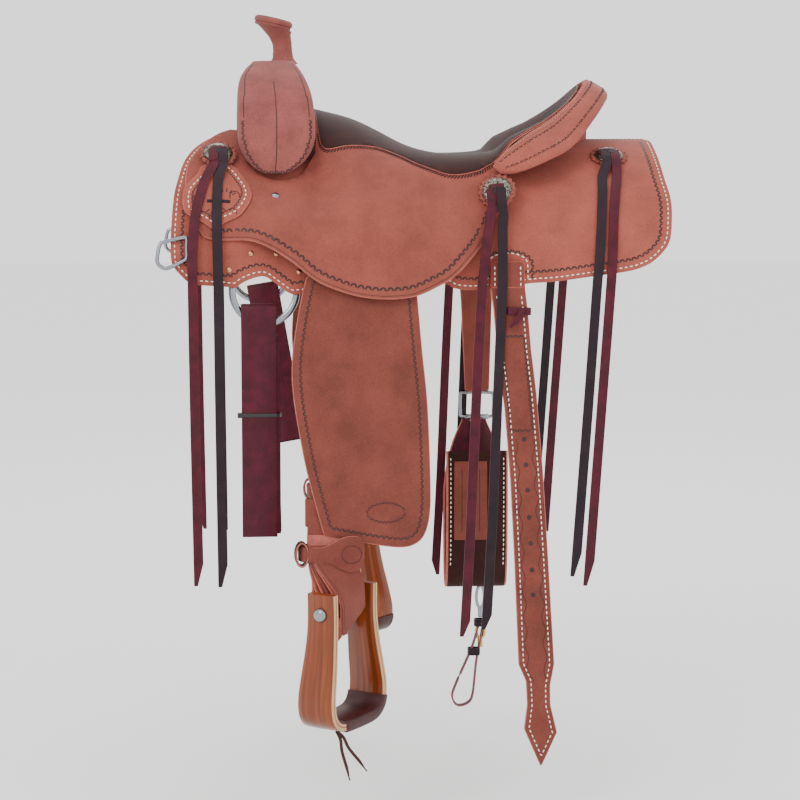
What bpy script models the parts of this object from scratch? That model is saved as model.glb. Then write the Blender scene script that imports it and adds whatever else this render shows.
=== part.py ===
"""Western cow horse saddle, modelled as separate pieces in metres.

+X runs to the rear, -X to the horse's head, -Y is the near (left) side and +Z is up.
The origin lies on the centre plane under the seat, where the saddle sits on the horse.

Every panel is laid out on the back profile: a round back with straight sides. A point of a
panel is (x, s, d): x along the horse, s down the leather from the centre line (negative on the
near side) and d outwards from the outer face of the skirts.
"""
import bpy
import bmesh
from math import acos, atan2, ceil, cos, floor, hypot, pi, radians, sin, sqrt
from mathutils import Matrix, Vector

for old in list(bpy.data.objects):
    bpy.data.objects.remove(old, do_unlink=True)

GAP = 0.0003
CELL_X = 0.046
CELL_S = 0.034

# Horse's back
BACK_RADIUS = 0.220
SIDE_ANGLE = radians(80)
CREST_MIDDLE = 0.0575
CREST_FRONT_RISE = 0.0255
CREST_REAR_RISE = 0.0045

# Leather and lining
SKIRT_THICK = 0.0050
JOCKEY_THICK = 0.0040
INLAY_THICK = 0.0015
KEEPER_THICK = 0.0035
FLEECE_THICK = 0.0140
PLUG_THICK = 0.0060
BAR_THICK = 0.0160
COVER_THICK = 0.0040
CANTLE_BACK_THICK = 0.0030

# Hanging parts
LEATHER_IN = 0.0060
LEATHER_THICK = 0.0060
FENDER_THICK = 0.0040
LEATHER_DRIFT = 0.0495
LEATHER_DRIFT_TOP = -0.15
FENDER_AXIS_X = -0.055
FENDER_AXIS_Z = -0.045
HEEL_RADIUS = 0.010
JOCKEY_STAND = 0.030
JOCKEY_LIE = 0.0048
BILLET_THICK = 0.0060

# Hardware
RING_X = -0.193
RING_Z = -0.152
RING_OUTER = 0.0508
RING_WIDTH = 0.0100
RING_THICK = 0.0050
ROSETTE_RADIUS = 0.0265
STRING_WIDTH = 0.014
STRING_THICK = 0.0030

# Stirrup
STIRRUP_TURN = radians(55)
STIRRUP_X = -0.0875
STIRRUP_Y = 0.305
STIRRUP_TOP = -0.5630
STIRRUP_NECK = 0.095
BOLT_DROP = 0.029
BOLT_RADIUS = 0.0045


def ease(t):
    t = min(max(t, 0.0), 1.0)
    return t * t * (3 - 2 * t)


def along(points, x):
    """Smooth value at x through (x, value) points."""
    if x <= points[0][0]:
        return points[0][1]
    for k in range(len(points) - 1):
        (x0, v0), (x1, v1) = points[k], points[k + 1]
        if x <= x1:
            before = points[k - 1] if k else points[k]
            after = points[k + 2] if k + 2 < len(points) else points[k + 1]
            m0 = (v1 - before[1]) / (x1 - before[0])
            m1 = (after[1] - v0) / (after[0] - x0)
            h = x1 - x0
            t = (x - x0) / h
            return (
                v0 * (2 * t**3 - 3 * t**2 + 1) + h * m0 * (t**3 - 2 * t**2 + t)
                + v1 * (3 * t**2 - 2 * t**3) + h * m1 * (t**3 - t**2)
            )
    return points[-1][1]


def spline(points, steps=3, closed=False):
    """A smooth curve through the points, as a list of tuples."""
    n = len(points)
    out = []
    for k in range(n if closed else n - 1):
        a = points[k - 1] if closed or k else points[k]
        b, c = points[k], points[(k + 1) % n]
        e = points[(k + 2) % n] if closed or k + 2 < n else points[k + 1]
        for j in range(steps):
            t = j / steps
            out.append(tuple(
                0.5 * (2 * q + (r - p) * t + (2 * p - 5 * q + 4 * r - w) * t**2
                       + (3 * q - p - 3 * r + w) * t**3)
                for p, q, r, w in zip(a, b, c, e)
            ))
    return out if closed else out + [tuple(points[-1])]


def mm(*points):
    return [tuple(v / 1000 for v in p) for p in points]


def crest(x):
    return (CREST_MIDDLE + CREST_FRONT_RISE * ease((-0.10 - x) / 0.16)
            + CREST_REAR_RISE * ease((x - 0.15) / 0.15))


def back(x, s, d, top=None):
    """The point at s down the leather from the centre line and d out from the skirt."""
    z = (crest(x) if top is None else top) - BACK_RADIUS
    angle = min(abs(s) / BACK_RADIUS, SIDE_ANGLE)
    run = max(abs(s) - BACK_RADIUS * SIDE_ANGLE, 0.0)
    y = (BACK_RADIUS + d) * sin(angle) + run * cos(SIDE_ANGLE)
    z += (BACK_RADIUS + d) * cos(angle) - run * sin(SIDE_ANGLE)
    return Vector((x, y if s >= 0 else -y, z))


def outward(s):
    angle = min(abs(s) / BACK_RADIUS, SIDE_ANGLE)
    return Vector((0, sin(angle) if s >= 0 else -sin(angle), cos(angle)))


def down_to(z, d=0.0, top=CREST_MIDDLE):
    """How far down the leather a height lies."""
    c = (z - top + BACK_RADIUS) / (BACK_RADIUS + d)
    if c > cos(SIDE_ANGLE):
        return BACK_RADIUS * acos(min(c, 1.0))
    low = top - BACK_RADIUS + (BACK_RADIUS + d) * cos(SIDE_ANGLE)
    return BACK_RADIUS * SIDE_ANGLE + (low - z) / sin(SIDE_ANGLE)


def material(name, colour, rough, metal=0.0):
    made = bpy.data.materials.get(name)
    if made:
        return made
    made = bpy.data.materials.new(name)
    made.use_nodes = True
    shader = made.node_tree.nodes["Principled BSDF"]
    rgb = [int(colour[k:k + 2], 16) / 255 for k in (0, 2, 4)]
    linear = [c / 12.92 if c < 0.04045 else ((c + 0.055) / 1.055) ** 2.4 for c in rgb]
    shader.inputs["Base Color"].default_value = (*linear, 1)
    shader.inputs["Roughness"].default_value = rough
    shader.inputs["Metallic"].default_value = metal
    made.diffuse_color = (*linear, 1)
    return made


TAN = material("roughout_leather", "B0695A", 0.85)
DARK = material("seat_leather", "4A302E", 0.45)
BURGUNDY = material("latigo_leather", "6E2A3C", 0.5)
WOOD = material("stirrup_wood", "8A4A1C", 0.25)
TREE = material("tree_wood", "C9A877", 0.7)
WOOL = material("fleece", "D9CDB8", 0.95)
STEEL = material("steel", "B8BABD", 0.25, 1.0)
SILVER = material("concho_silver", "A8A29A", 0.35, 1.0)
PLASTIC = material("cable_tie", "1B1B1D", 0.5)


def add(name, bm, mat, sharp=35):
    """Turn a bmesh into a named object with its faces pointing out."""
    bmesh.ops.remove_doubles(bm, verts=bm.verts, dist=1e-7)
    bmesh.ops.recalc_face_normals(bm, faces=bm.faces)
    mesh = bpy.data.meshes.new(name)
    bm.to_mesh(mesh)
    bm.free()
    mesh.materials.append(mat)
    mesh.shade_smooth()
    mesh.set_sharp_from_angle(angle=radians(sharp))
    made = bpy.data.objects.new(name, mesh)
    bpy.context.collection.objects.link(made)
    return made


def faceted(x, s, height, top=None):
    """A point on the flat facet that every panel shares there, so that layers never cross."""
    u, v = x / CELL_X, s / CELL_S
    i, j = floor(u), floor(v)
    u, v = u - i, v - j
    if v < u:
        corners = ((i, j, 1 - u), (i + 1, j, u - v), (i + 1, j + 1, v))
    else:
        corners = ((i, j, 1 - v), (i, j + 1, v - u), (i + 1, j + 1, u))
    point = Vector()
    for a, b, share in corners:
        cx, cs = a * CELL_X, b * CELL_S
        point += share * back(cx, cs, height(cx, cs) if callable(height) else height, top)
    return point


def slab(outline, low, high, top=None):
    """A bmesh of a panel: its outline in (x, s), cut along the facets and laid on the back."""
    bm = bmesh.new()
    bm.faces.new([bm.verts.new((x, s, 0)) for x, s in outline])
    for a, b in ((1 / CELL_X, 0), (0, 1 / CELL_S), (1 / CELL_X, -1 / CELL_S)):
        counts = [a * x + b * s for x, s in outline]
        length = hypot(a, b)
        for k in range(ceil(min(counts)), floor(max(counts)) + 1):
            place = (k * a / length**2, k * b / length**2, 0)
            bmesh.ops.bisect_plane(bm, geom=bm.verts[:] + bm.edges[:] + bm.faces[:], dist=1e-5,
                                   plane_co=place, plane_no=(a / length, b / length, 0))
    bmesh.ops.remove_doubles(bm, verts=bm.verts, dist=2e-5)
    bmesh.ops.triangulate(bm, faces=bm.faces[:])
    grown = bmesh.ops.extrude_face_region(bm, geom=bm.faces[:])
    upper = [v for v in grown["geom"] if isinstance(v, bmesh.types.BMVert)]
    bmesh.ops.translate(bm, verts=upper, vec=(0, 0, 1))
    for v in bm.verts:
        x, s, layer = v.co
        v.co = faceted(x, s, high if layer > 0.5 else low, top)
    return bm


def loft(rings, closed=False):
    """A bmesh through rings of equal count, capped across from side to side."""
    bm = bmesh.new()
    rows = [[bm.verts.new(p) for p in ring] for ring in rings]
    n = len(rows[0])
    for k in range(len(rows) if closed else len(rows) - 1):
        a, b = rows[k], rows[(k + 1) % len(rows)]
        for j in range(n):
            bm.faces.new((a[j], a[(j + 1) % n], b[(j + 1) % n], b[j]))
    if not closed:
        for row in (rows[0], rows[-1]):
            for j in range(n // 2 - 1):
                bm.faces.new((row[j], row[j + 1], row[n - 2 - j], row[n - 1 - j]))
    return bm


def turned(profile, steps, place, axis):
    """A bmesh turned from (radius, height) points about an axis."""
    bm = bmesh.new()
    line = [bm.verts.new((r, 0, h)) for r, h in profile]
    edges = [bm.edges.new(pair) for pair in zip(line, line[1:])]
    bmesh.ops.spin(bm, geom=line + edges, cent=(0, 0, 0), axis=(0, 0, 1), angle=2 * pi,
                   steps=steps, use_merge=True)
    bmesh.ops.remove_doubles(bm, verts=bm.verts, dist=1e-6)
    turn = Vector((0, 0, 1)).rotation_difference(Vector(axis)).to_matrix().to_4x4()
    bmesh.ops.transform(bm, matrix=Matrix.Translation(place) @ turn, verts=bm.verts)
    return bm


def swung(names, angle, place, axis):
    """Turn finished pieces about an axis at a place, to the way they hang at rest."""
    place = Vector(place)
    turn = (Matrix.Translation(place) @ Matrix.Rotation(angle, 4, Vector(axis))
            @ Matrix.Translation(-place))
    for name in names:
        bpy.data.objects[name].data.transform(turn)


def trim(target, cutter_bm, mode="DIFFERENCE"):
    """Cut or join an object with a bmesh, for good."""
    cutter = add(target.name + "_cutter", cutter_bm, target.data.materials[0])
    step = target.modifiers.new("trim", "BOOLEAN")
    step.operation = mode
    step.object = cutter
    shape = bpy.data.meshes.new_from_object(target.evaluated_get(
        bpy.context.evaluated_depsgraph_get()))
    target.modifiers.clear()
    old = target.data
    target.data = shape
    shape.name = old.name
    bpy.data.meshes.remove(old)
    bpy.data.objects.remove(cutter, do_unlink=True)
    merged = bmesh.new()
    merged.from_mesh(shape)
    bmesh.ops.remove_doubles(merged, verts=merged.verts, dist=2e-6)
    bmesh.ops.dissolve_degenerate(merged, edges=merged.edges, dist=1e-6)
    merged.to_mesh(shape)
    merged.free()
    return target


# Heights of the seat leather over the back
SEAT_CREST = mm((-116, 106), (-110, 105), (-57, 91), (-18, 73), (11, 57), (41, 43.5), (70.5, 35),
                (100, 32), (129, 31), (165, 36), (200, 49), (230, 72), (260, 106), (290, 148))
RIM = mm((138, 166, 22), (154, 160, 42), (187, 140, 66.6), (225.7, 115, 89), (264, 80, 118),
         (286, 40, 141), (293, 0, 149))
ROLL_EDGE = mm((149, 180, 13), (174, 185, 16), (214.5, 176, 31), (255.5, 155, 52),
               (294.5, 115, 93), (322, 55, 122), (331, 0, 129))


def on_panel(x, y, z):
    """(x, s, d) of a point in space."""
    rise = z - crest(x) + BACK_RADIUS
    return x, BACK_RADIUS * atan2(y, rise), hypot(y, rise) - BACK_RADIUS


RIM_PANEL = [on_panel(*p) for p in RIM]
RIM_S = [(x, s) for x, s, d in RIM_PANEL]
RIM_D = [(x, d) for x, s, d in RIM_PANEL]
STAND_FRONT = (-0.240, -0.172)
STAND_REAR = (0.075, 0.125)
EAR_LIE = 0.0100


def stand(x):
    """How far the jockey's lower part stands off the skirt, clear of the fender."""
    front = ease((x - STAND_FRONT[0]) / (STAND_FRONT[1] - STAND_FRONT[0]))
    rear = ease((x - STAND_REAR[0]) / (STAND_REAR[1] - STAND_REAR[0]))
    return JOCKEY_LIE + (JOCKEY_STAND - JOCKEY_LIE) * front + (EAR_LIE - JOCKEY_STAND) * rear


SHOULDER_S = mm((-114, 190), (-70, 180), (75, 175), (100, 170), (141, 152))
SHOULDER_D = mm((-114, 8), (-70, 21), (75, 22), (100, 22), (141, 20))
SKIRT_S = mm((-114, 262), (-70, 250), (75, 245), (100, 222), (141, 185))
SEAT_START = -0.114
FORK_TIP_X = -0.145


def seat(x, s):
    """Outer face of the seat and jockey leather."""
    s = abs(s)
    if x < SEAT_START:
        prong = JOCKEY_LIE + (stand(x) - JOCKEY_LIE) * ease((s - 0.195) / 0.067)
        behind = ease((0.165 - s) / 0.060) if x > FORK_TIP_X else 0.0
        return prong + (seat(SEAT_START, s) - prong) * behind if behind else prong
    middle = along(SEAT_CREST, x) - crest(x)
    if x < 0.141:
        s1, d1, s2 = along(SHOULDER_S, x), along(SHOULDER_D, x), along(SKIRT_S, x)
    else:
        s1 = along(RIM_S, x)
        d1 = 0.020 + (along(RIM_D, x) - 0.0112 - 0.020) * ease((x - 0.141) / 0.03)
        s2 = 0.185
    if s < s1 or x > 0.17:
        return middle + (d1 - middle) * ease(s / max(s1, 0.001))
    return d1 + (stand(x) - d1) * ease((s - s1) / (s2 - s1))


def dip(x, s):
    """How far the bars drop under the seat so that the seat clears them."""
    if x < -0.10 or x > 0.24:
        return 0.0
    return max(0.0, 0.0082 - seat(x, s))


# Skirts, linings and bars
SKIRT_FRONT = mm((-105, 41), (-227, 41), (-256, 76), (-287, 114), (-306, 151), (-316, 190),
                 (-322, 222), (-326, 277), (-326, 314), (-320, 329), (-300, 349), (-281, 353),
                 (-242, 355))
RIGGING_ARCH = mm((-233, 355), (-217, 342), (-194, 331), (-180, 336), (-160, 346), (-149, 347),
                  (-139, 344), (-90, 332), (0, 322), (60, 326))
SKIRT_REAR = mm((69, 328), (80, 334), (111, 336), (181, 328), (234, 326), (315, 317), (350, 309),
                (373, 295), (391, 272), (397, 240), (399, 203), (394, 154), (392, 85), (393, 40))
SKIRT_TOP = mm((240, 1.5), (205, 70), (150, 140), (20, 150), (-60, 140))
SKIRT = (SKIRT_FRONT[:1] + spline(SKIRT_FRONT[1:], 2) + spline(RIGGING_ARCH, 2)
         + spline(SKIRT_REAR, 2) + mm((386, 1.5)) + SKIRT_TOP)
BAR = spline(mm((-275, 110), (-250, 155), (-180, 168), (-50, 150), (80, 150), (200, 160),
                (300, 158), (335, 110), (300, 62), (200, 52), (50, 50), (-80, 52), (-200, 58),
                (-260, 72)), 2, closed=True)


def bar_top(x, s):
    return -SKIRT_THICK - 0.0004 - dip(x, abs(s))


def lining_top(x, s):
    s = abs(s)
    over_bar = ease((x + 0.320) / 0.035) * ease((0.395 - x) / 0.030) * ease((0.212 - s) / 0.027)
    over_ring = ease((-0.050 - x) / 0.030)
    return -SKIRT_THICK - 0.0007 - max((PLUG_THICK + ring_sag()) * over_ring,
                                       (BAR_THICK + 0.0005 + dip(x, s)) * over_bar)


def sided(outline, side):
    return [(x, s * side) for x, s in outline]


def inset(outline, amount):
    """An outline moved in along its normals; it runs round the panel either way."""
    n = len(outline)
    area = sum(outline[k - 1][0] * outline[k][1] - outline[k][0] * outline[k - 1][1]
               for k in range(n))
    turn = 1 if area > 0 else -1
    out = []
    for k in range(n):
        a, b = outline[k - 1], outline[(k + 1) % n]
        length = hypot(b[0] - a[0], b[1] - a[1])
        out.append((outline[k][0] - turn * amount * (b[1] - a[1]) / length,
                    outline[k][1] + turn * amount * (b[0] - a[0]) / length))
    return out


FLEECE = mm((-130, 50), (-222, 50), (-252, 84), (-280, 118), (-300, 152), (-311, 190),
            (-320, 277), (-320, 312), (-297, 342), (-245, 347), (-215, 333), (-180, 330),
            (-140, 334), (0, 314), (78, 326), (180, 320), (315, 309), (348, 301), (380, 280),
            (391, 240), (388, 154), (386, 85), (386, 20), (240, 22), (130, 32), (-60, 34))


def make_lining():
    for side, word in ((-1, "near"), (1, "off")):
        add("skirt_" + word, slab(sided(SKIRT, side), -SKIRT_THICK, 0.0), TAN)
        low = lambda x, s: lining_top(x, s) - FLEECE_THICK
        add("fleece_" + word, slab(sided(FLEECE, side), low, lining_top), WOOL)
        low = lambda x, s: bar_top(x, s) - BAR_THICK
        add("tree_bar_" + word, slab(sided(BAR, side), low, bar_top), TREE)


# Seat
NOTCH = mm((-115.5, 0), (-115.5, 100), (-116, 118), (-137, 154), (-162, 174), (-180, 179),
           (-198, 174), (-213, 158), (-221, 126), (-222, 84), (-224, 62))
PRONG = mm((-240, 66), (-262, 92), (-284, 128), (-300, 165), (-304, 205), (-297, 248), (-279, 284))
JOCKEY_EDGE = mm((-279, 284), (-257, 289), (-220, 286), (-202, 288), (-176, 296), (-149, 307),
                 (-128, 321), (-105, 332), (-71, 344), (-36, 350), (-2, 350), (25, 345),
                 (55, 331), (71, 322), (91, 304), (118, 272), (143, 225), (163, 202))
RIM_INSET = mm((168, 190), (152, 168), (147, 152), (153, 138), (184, 115.5), (221.5, 90.5),
               (259, 58.5), (280.5, 27.5), (287, 0))
INLAY_EDGE = mm((-113, 40), (-111, 83), (-107, 110), (-94, 118), (-64, 113), (-26, 112),
                (4, 127), (28, 146), (55, 162), (73, 170), (95, 170), (120, 162), (139, 147),
                (150, 132), (180, 111), (217, 87), (254, 56), (275, 27), (281, 0))


def both_sides(half):
    """A closed outline from the half that runs from the centre line back to it."""
    near = [(x, -s) for x, s in half]
    return near + [(x, s) for x, s in reversed(half) if abs(s) > 1e-6]


def make_seat():
    half = (NOTCH + spline(PRONG, 2) + spline(JOCKEY_EDGE, 2)[1:] + RIM_INSET)
    outline = both_sides(half)
    low = lambda x, s: seat(x, s) - JOCKEY_THICK
    add("seat_jockey", slab(outline, low, seat), TAN)
    half = mm((-113, 0)) + spline(INLAY_EDGE[:12], 2) + INLAY_EDGE[12:]
    low = lambda x, s: seat(x, s) + GAP
    high = lambda x, s: seat(x, s) + GAP + INLAY_THICK
    add("seat_inlay", slab(both_sides(half), low, high), DARK)
    half = mm((-108, 0), (-108, 34)) + [(x, s - 0.003) for x, s in reversed(SKIRT_TOP[1:])]
    half += mm((236, 0))
    low = lambda x, s: -SKIRT_THICK - dip(x, abs(s))
    high = lambda x, s: seat(x, s) - JOCKEY_THICK - GAP
    add("ground_seat", slab(both_sides(half), low, high), TREE)
    half = mm((244, 0), (209, 71), (155, 141), (178, 114), (216, 88), (253, 56), (275, 26),
              (282, 0))
    low = lambda x, s: 0.0005
    add("tree_cantle", slab(both_sides(half), low, high), TREE)


# Cantle roll and back
ROLL_THICK = 0.011
ROLL_STEPS = 2


def make_cantle():
    half_in, half_out = spline(RIM, ROLL_STEPS), spline(ROLL_EDGE, ROLL_STEPS)
    pairs = [((a[0], -a[1], a[2]), (b[0], -b[1], b[2])) for a, b in zip(half_in, half_out)]
    pairs += [(a, b) for a, b in reversed(list(zip(half_in, half_out)))][1:]
    pairs = [(Vector(a), Vector(b)) for a, b in pairs]
    rings = []
    for k, (a, b) in enumerate(pairs):
        ahead = pairs[min(k + 1, len(pairs) - 1)]
        behind = pairs[max(k - 1, 0)]
        run = (ahead[0] + ahead[1] - behind[0] - behind[1]).normalized()
        across = (b - a)
        up = run.cross(across).normalized()
        if up.z < 0:
            up = -up
        end = 0.45 if k in (0, len(pairs) - 1) else 1.0
        ring = []
        for f, h in ((0, 0.0), (0.10, 0.42), (0.35, 0.62), (0.65, 0.60), (0.92, 0.36), (1, -0.1),
                     (0.90, -0.42), (0.5, -0.38), (0.12, -0.38), (0.02, -0.2)):
            ring.append(a + across * f + up * h * ROLL_THICK * end)
        rings.append(ring)
    add("cantle_roll", loft(rings), TAN, 50)
    path = [(x, s) for x, s, d in RIM_PANEL[1:]]
    path = [(x, -s) for x, s in path] + [(x, s) for x, s in reversed(path[:-1])]
    wall = []
    for off in (0.0035, 0.0035 + CANTLE_BACK_THICK):
        line = []
        for k, (x, s) in enumerate(path):
            a, b = path[max(k - 1, 0)], path[min(k + 1, len(path) - 1)]
            length = hypot(b[0] - a[0], b[1] - a[1])
            line.append((x + off * (b[1] - a[1]) / length, s - off * (b[0] - a[0]) / length))
        wall.append(line)
    outline = wall[0] + wall[1][::-1]
    high = lambda x, s: along(RIM_D, x) - 0.0112
    add("cantle_back", slab(outline, 0.0009, high), TAN)


# Fork, as seen from the front: outer skin and gullet, from the top to the foot
FORK_OUT = mm((0, 177), (28, 177), (62, 164), (100, 143), (133, 114), (154, 83), (165, 52),
              (169, 22), (170, -8))
FORK_IN = mm((0, 118), (16, 117.5), (34, 113), (52, 104), (68, 90), (79, 72), (86, 50), (89, 22),
             (89, -8))
FORK_FRONT = -0.2287
FORK_REAR = -0.1167
FORK_MIDDLE = -0.178
FORK_TIP_TOP = 0.072
FORK_TIP_DEPTH = 0.061
FORK_TOP_FRONT = mm((110, 0), (150, 2), (166, 9), (177, 20))
FORK_TOP_REAR = mm((100, 0), (134, 4), (162, 14), (177, 24))


def fork_section(index, side, x_in, depth_in, lining):
    """One section of the fork: a loop in x and out from the gullet."""
    (yi, zi), (yo, zo) = FORK_IN[index], FORK_OUT[index]
    inner = Vector((0, yi * side, zi))
    out = Vector((0, yo * side, zo)) - inner
    reach = out.length
    out.normalize()
    front = FORK_FRONT + along(FORK_TOP_FRONT, zo)
    rear = FORK_REAR - along(FORK_TOP_REAR, zo)
    if zo < FORK_TIP_TOP:
        share = sqrt(max(1 - ((FORK_TIP_TOP - zo) / FORK_TIP_DEPTH) ** 2, 0.04))
        front = FORK_MIDDLE + (front - FORK_MIDDLE) * share
        rear = FORK_MIDDLE + (rear - FORK_MIDDLE) * share
    shape = ((0, 0), (0, 0.5), (0.02, 0.80), (0.09, 0.95), (0.25, 1.0))

    def loop(x_gap, cut):
        f, r = front + x_gap, rear - x_gap
        half = [(f + u * (r - f), v * (reach - cut)) for u, v in shape]
        half += [(r - u * (r - f), v * (reach - cut)) for u, v in reversed(shape)]
        return [inner + out * v + Vector((u, 0, 0)) for u, v in half]

    ring = loop(x_in, depth_in)
    return ring + loop(x_in + lining, depth_in + lining)[::-1] if lining else ring


def make_fork():
    order = [(k, -1) for k in range(len(FORK_OUT) - 1, 0, -1)]
    order += [(k, 1) for k in range(len(FORK_OUT))]
    tree = add("tree_fork", loft([fork_section(k, side, 0.0067, 0.0049, 0) for k, side in order]),
               TREE)
    field = both_sides(mm((-330, 0), (-330, 300), (-60, 300), (-60, 0)))

    def on_jockey(x, s):
        return (seat(x, s) if abs(s) > 0.119 else JOCKEY_LIE) + 0.0004

    trim(tree, slab(field, -0.090, 0.0005))
    for side in (-1, 1):
        edge = [(x, s * side) for x, s in mm((-330, 148), (-330, 300), (-60, 300), (-60, 148))]
        trim(tree, slab(edge, -0.090, on_jockey))
    rings = []
    for k, side in order:
        ring = fork_section(k, side, 0, 0, COVER_THICK)
        rings.append(ring)
    cover = add("fork_cover", loft(rings), TAN)
    trim(cover, slab(field, -0.090, on_jockey))
    trim(cover, turned([(0, -0.02), (HORN_HOLE, -0.02), (HORN_HOLE, 0.02), (0, 0.02)], 16,
                       HORN_FOOT + Vector((0, 0, 0.175 - HORN_FOOT.z)), (0, 0, 1)))


# Horn
HORN_POST = 0.0105
HORN_HOLE = 0.0140
NECK_RADIUS = 0.0143
HORN_FOOT = Vector((-0.158, 0, 0.1728))
HORN_HEAD = Vector((-0.1755, 0, 0.2345))
CAP_TILT = radians(12)
CAP_LONG = 0.0285
CAP_WIDE = 0.0310
CAP_THICK = 0.0135


def make_horn():
    lean = HORN_HEAD - HORN_FOOT

    def ring(share, radius, count=12):
        centre = HORN_FOOT + lean * share
        return [centre + Vector((radius * cos(2 * pi * k / count),
                                 radius * sin(2 * pi * k / count), 0)) for k in range(count)]

    add("horn_post", loft([ring(0, 0.0125), ring(0.06, 0.0125), ring(0.065, HORN_POST),
                           ring(0.952, HORN_POST)]), STEEL)
    bore = HORN_POST + 0.0004
    wrap = []
    for share, radius in ((0.075, 0.0215), (0.11, 0.0205), (0.20, 0.0165), (0.40, NECK_RADIUS),
                          (0.70, NECK_RADIUS), (0.85, 0.0160), (0.90, 0.0175)):
        wrap.append(ring(share, radius))
    inner = [ring(0.90, bore), ring(0.075, bore)]
    add("horn_wrap", loft(wrap + inner, closed=True), TAN, 50)
    rows = []
    count = 20
    turn = Matrix.Rotation(CAP_TILT, 3, "Y")
    for radius, height in ((0.45, 0.0), (0.80, 0.10), (0.97, 0.35), (1.0, 0.60), (0.985, 0.85),
                           (0.90, 1.0), (0.5, 1.06)):
        rows.append([HORN_HEAD + turn @ Vector((
            CAP_LONG * radius * cos(2 * pi * k / count), CAP_WIDE * radius * sin(2 * pi * k / count),
            CAP_THICK * (height - 0.02))) for k in range(count)])
    add("horn_cap", loft(rows), TAN, 50)


# Front rigging
KEEPER = spline(mm((-242, 166), (-219, 191), (-210, 210), (-212, 229), (-226, 251), (-246, 263),
                   (-264, 273), (-279, 264), (-298, 254), (-307, 241), (-305, 211), (-287, 187),
                   (-277, 170)), 2, closed=True)
RING_DEPTH = -0.00867
DEE_X = -0.3020
DEE_TOP = -0.0745
DEE_LOW = -0.1060
DEE_BAR = 0.0029
DEE_SHAPE = mm((0, -74.5), (0, -106), (-27, -118), (-36.5, -116), (-41.5, -109), (-40.5, -96),
               (-38, -86), (-33, -82))
CHAPE_S = (0.262, 0.322)


def keeper_seat(x, s):
    return seat(x, s) + GAP


def ring_at(side):
    """The rigging ring: a flat ring behind the skirt."""
    inner = RING_OUTER - RING_WIDTH
    profile = [(inner + 0.0015, -RING_THICK / 2), (RING_OUTER - 0.0015, -RING_THICK / 2),
               (RING_OUTER, -RING_THICK / 5), (RING_OUTER, RING_THICK / 5),
               (RING_OUTER - 0.0015, RING_THICK / 2), (inner + 0.0015, RING_THICK / 2),
               (inner, RING_THICK / 5), (inner, -RING_THICK / 5),
               (inner + 0.0015, -RING_THICK / 2)]
    centre = ring_centre()
    return turned(profile, 24, (RING_X, side * centre.y, RING_Z), ring_axis(side))


def ring_sag():
    """How far the skirt curves away from a flat ring's plane by the ring's top."""
    s = down_to(RING_Z, 0, crest(RING_X))
    square = back(0, s, 1, 0) - back(0, s, 0, 0)
    return square.dot(back(0, s, 0, 0) - back(0, s - RING_OUTER, 0, 0))


def ring_centre():
    return back(RING_X, down_to(RING_Z, 0, crest(RING_X)), RING_DEPTH - ring_sag())


def ring_axis(side):
    """Square to the skirt at the ring."""
    s = down_to(RING_Z, 0, crest(RING_X))
    along_x = back(RING_X + RING_OUTER, s, 0) - back(RING_X - RING_OUTER, s, 0)
    axis = along_x.cross(back(RING_X, s + 0.01, 0) - back(RING_X, s - 0.01, 0))
    axis *= 1 if axis.y > 0 else -1
    return Vector((axis.x, side * axis.y, axis.z)).normalized()


def tube_loop(points, radius, count=8):
    """A closed round bar through the points."""
    pts = [Vector(p) for p in points]
    n = len(pts)
    rings = []
    flat = (pts[1] - pts[0]).cross(pts[n // 2] - pts[0]).normalized()
    for k in range(n):
        run = (pts[(k + 1) % n] - pts[k - 1]).normalized()
        out = run.cross(flat).normalized()
        rings.append([pts[k] + radius * (out * cos(2 * pi * j / count)
                                         + flat * sin(2 * pi * j / count)) for j in range(count)])
    return loft(rings, closed=True)


def dee_y(z):
    """How far out the dee's plane lies at a height."""
    return back(DEE_X, down_to(z, 0, crest(DEE_X)), 0.0044).y


def make_rigging():
    for side, word in ((-1, "near"), (1, "off")):
        high = lambda x, s: keeper_seat(x, s) + KEEPER_THICK
        add("latigo_keeper_" + word, slab(sided(KEEPER, side), keeper_seat, high), TAN)
        add("rigging_ring_" + word, ring_at(side), STEEL)
        bar_y = dee_y(DEE_TOP), dee_y(DEE_LOW)
        lean = (bar_y[1] - bar_y[0]) / (DEE_LOW - DEE_TOP)
        points = [(DEE_X + x, side * (bar_y[0] + (z - DEE_TOP) * lean), z)
                  for x, z in [DEE_SHAPE[0], (0, -0.090)] + DEE_SHAPE[1:]]
        add("breast_dee_" + word, tube_loop(points, DEE_BAR), STEEL, 60)


# Conchos on their leather rosettes: x, s and what they lie on
CONCHOS = {"front": (-0.257, 0.151), "middle": (0.143, 0.197), "rear": (0.317, 0.110)}
CONCHO_SHAPE = mm((0, 0), (26.5, 0), (26.5, 2.5), (21.2, 3.0), (21, 5.0), (14, 7.4), (0, 8.2))


def under_concho(place, x, s):
    """What the concho lies on: the keeper and jockey, the jockey's ear or the skirt."""
    if place == "rear":
        return 0.0
    return seat(x, s) + (KEEPER_THICK + GAP if place == "front" else 0.0)


def concho_frame(place, side):
    """Where a concho sits and its outward axis, clear of the leather beneath it."""
    x, s = CONCHOS[place]
    r = ROSETTE_RADIUS

    def leather(a, b):
        return faceted(a, side * b, lambda p, q: under_concho(place, p, abs(q)))

    axis = (leather(x + r, s) - leather(x - r, s)).cross(leather(x, s + r) - leather(x, s - r))
    axis = axis.normalized() * (1 if axis.y * side > 0 else -1)
    middle = leather(x, s)
    rim = [leather(x + share * r * cos(k * pi / 12), s + share * r * sin(k * pi / 12))
           for k in range(24) for share in (0.35, 0.7, 1.06)]
    lift = max((p - middle).dot(axis) for p in rim + [middle])
    return middle + axis * (lift + 0.0008), axis


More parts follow.
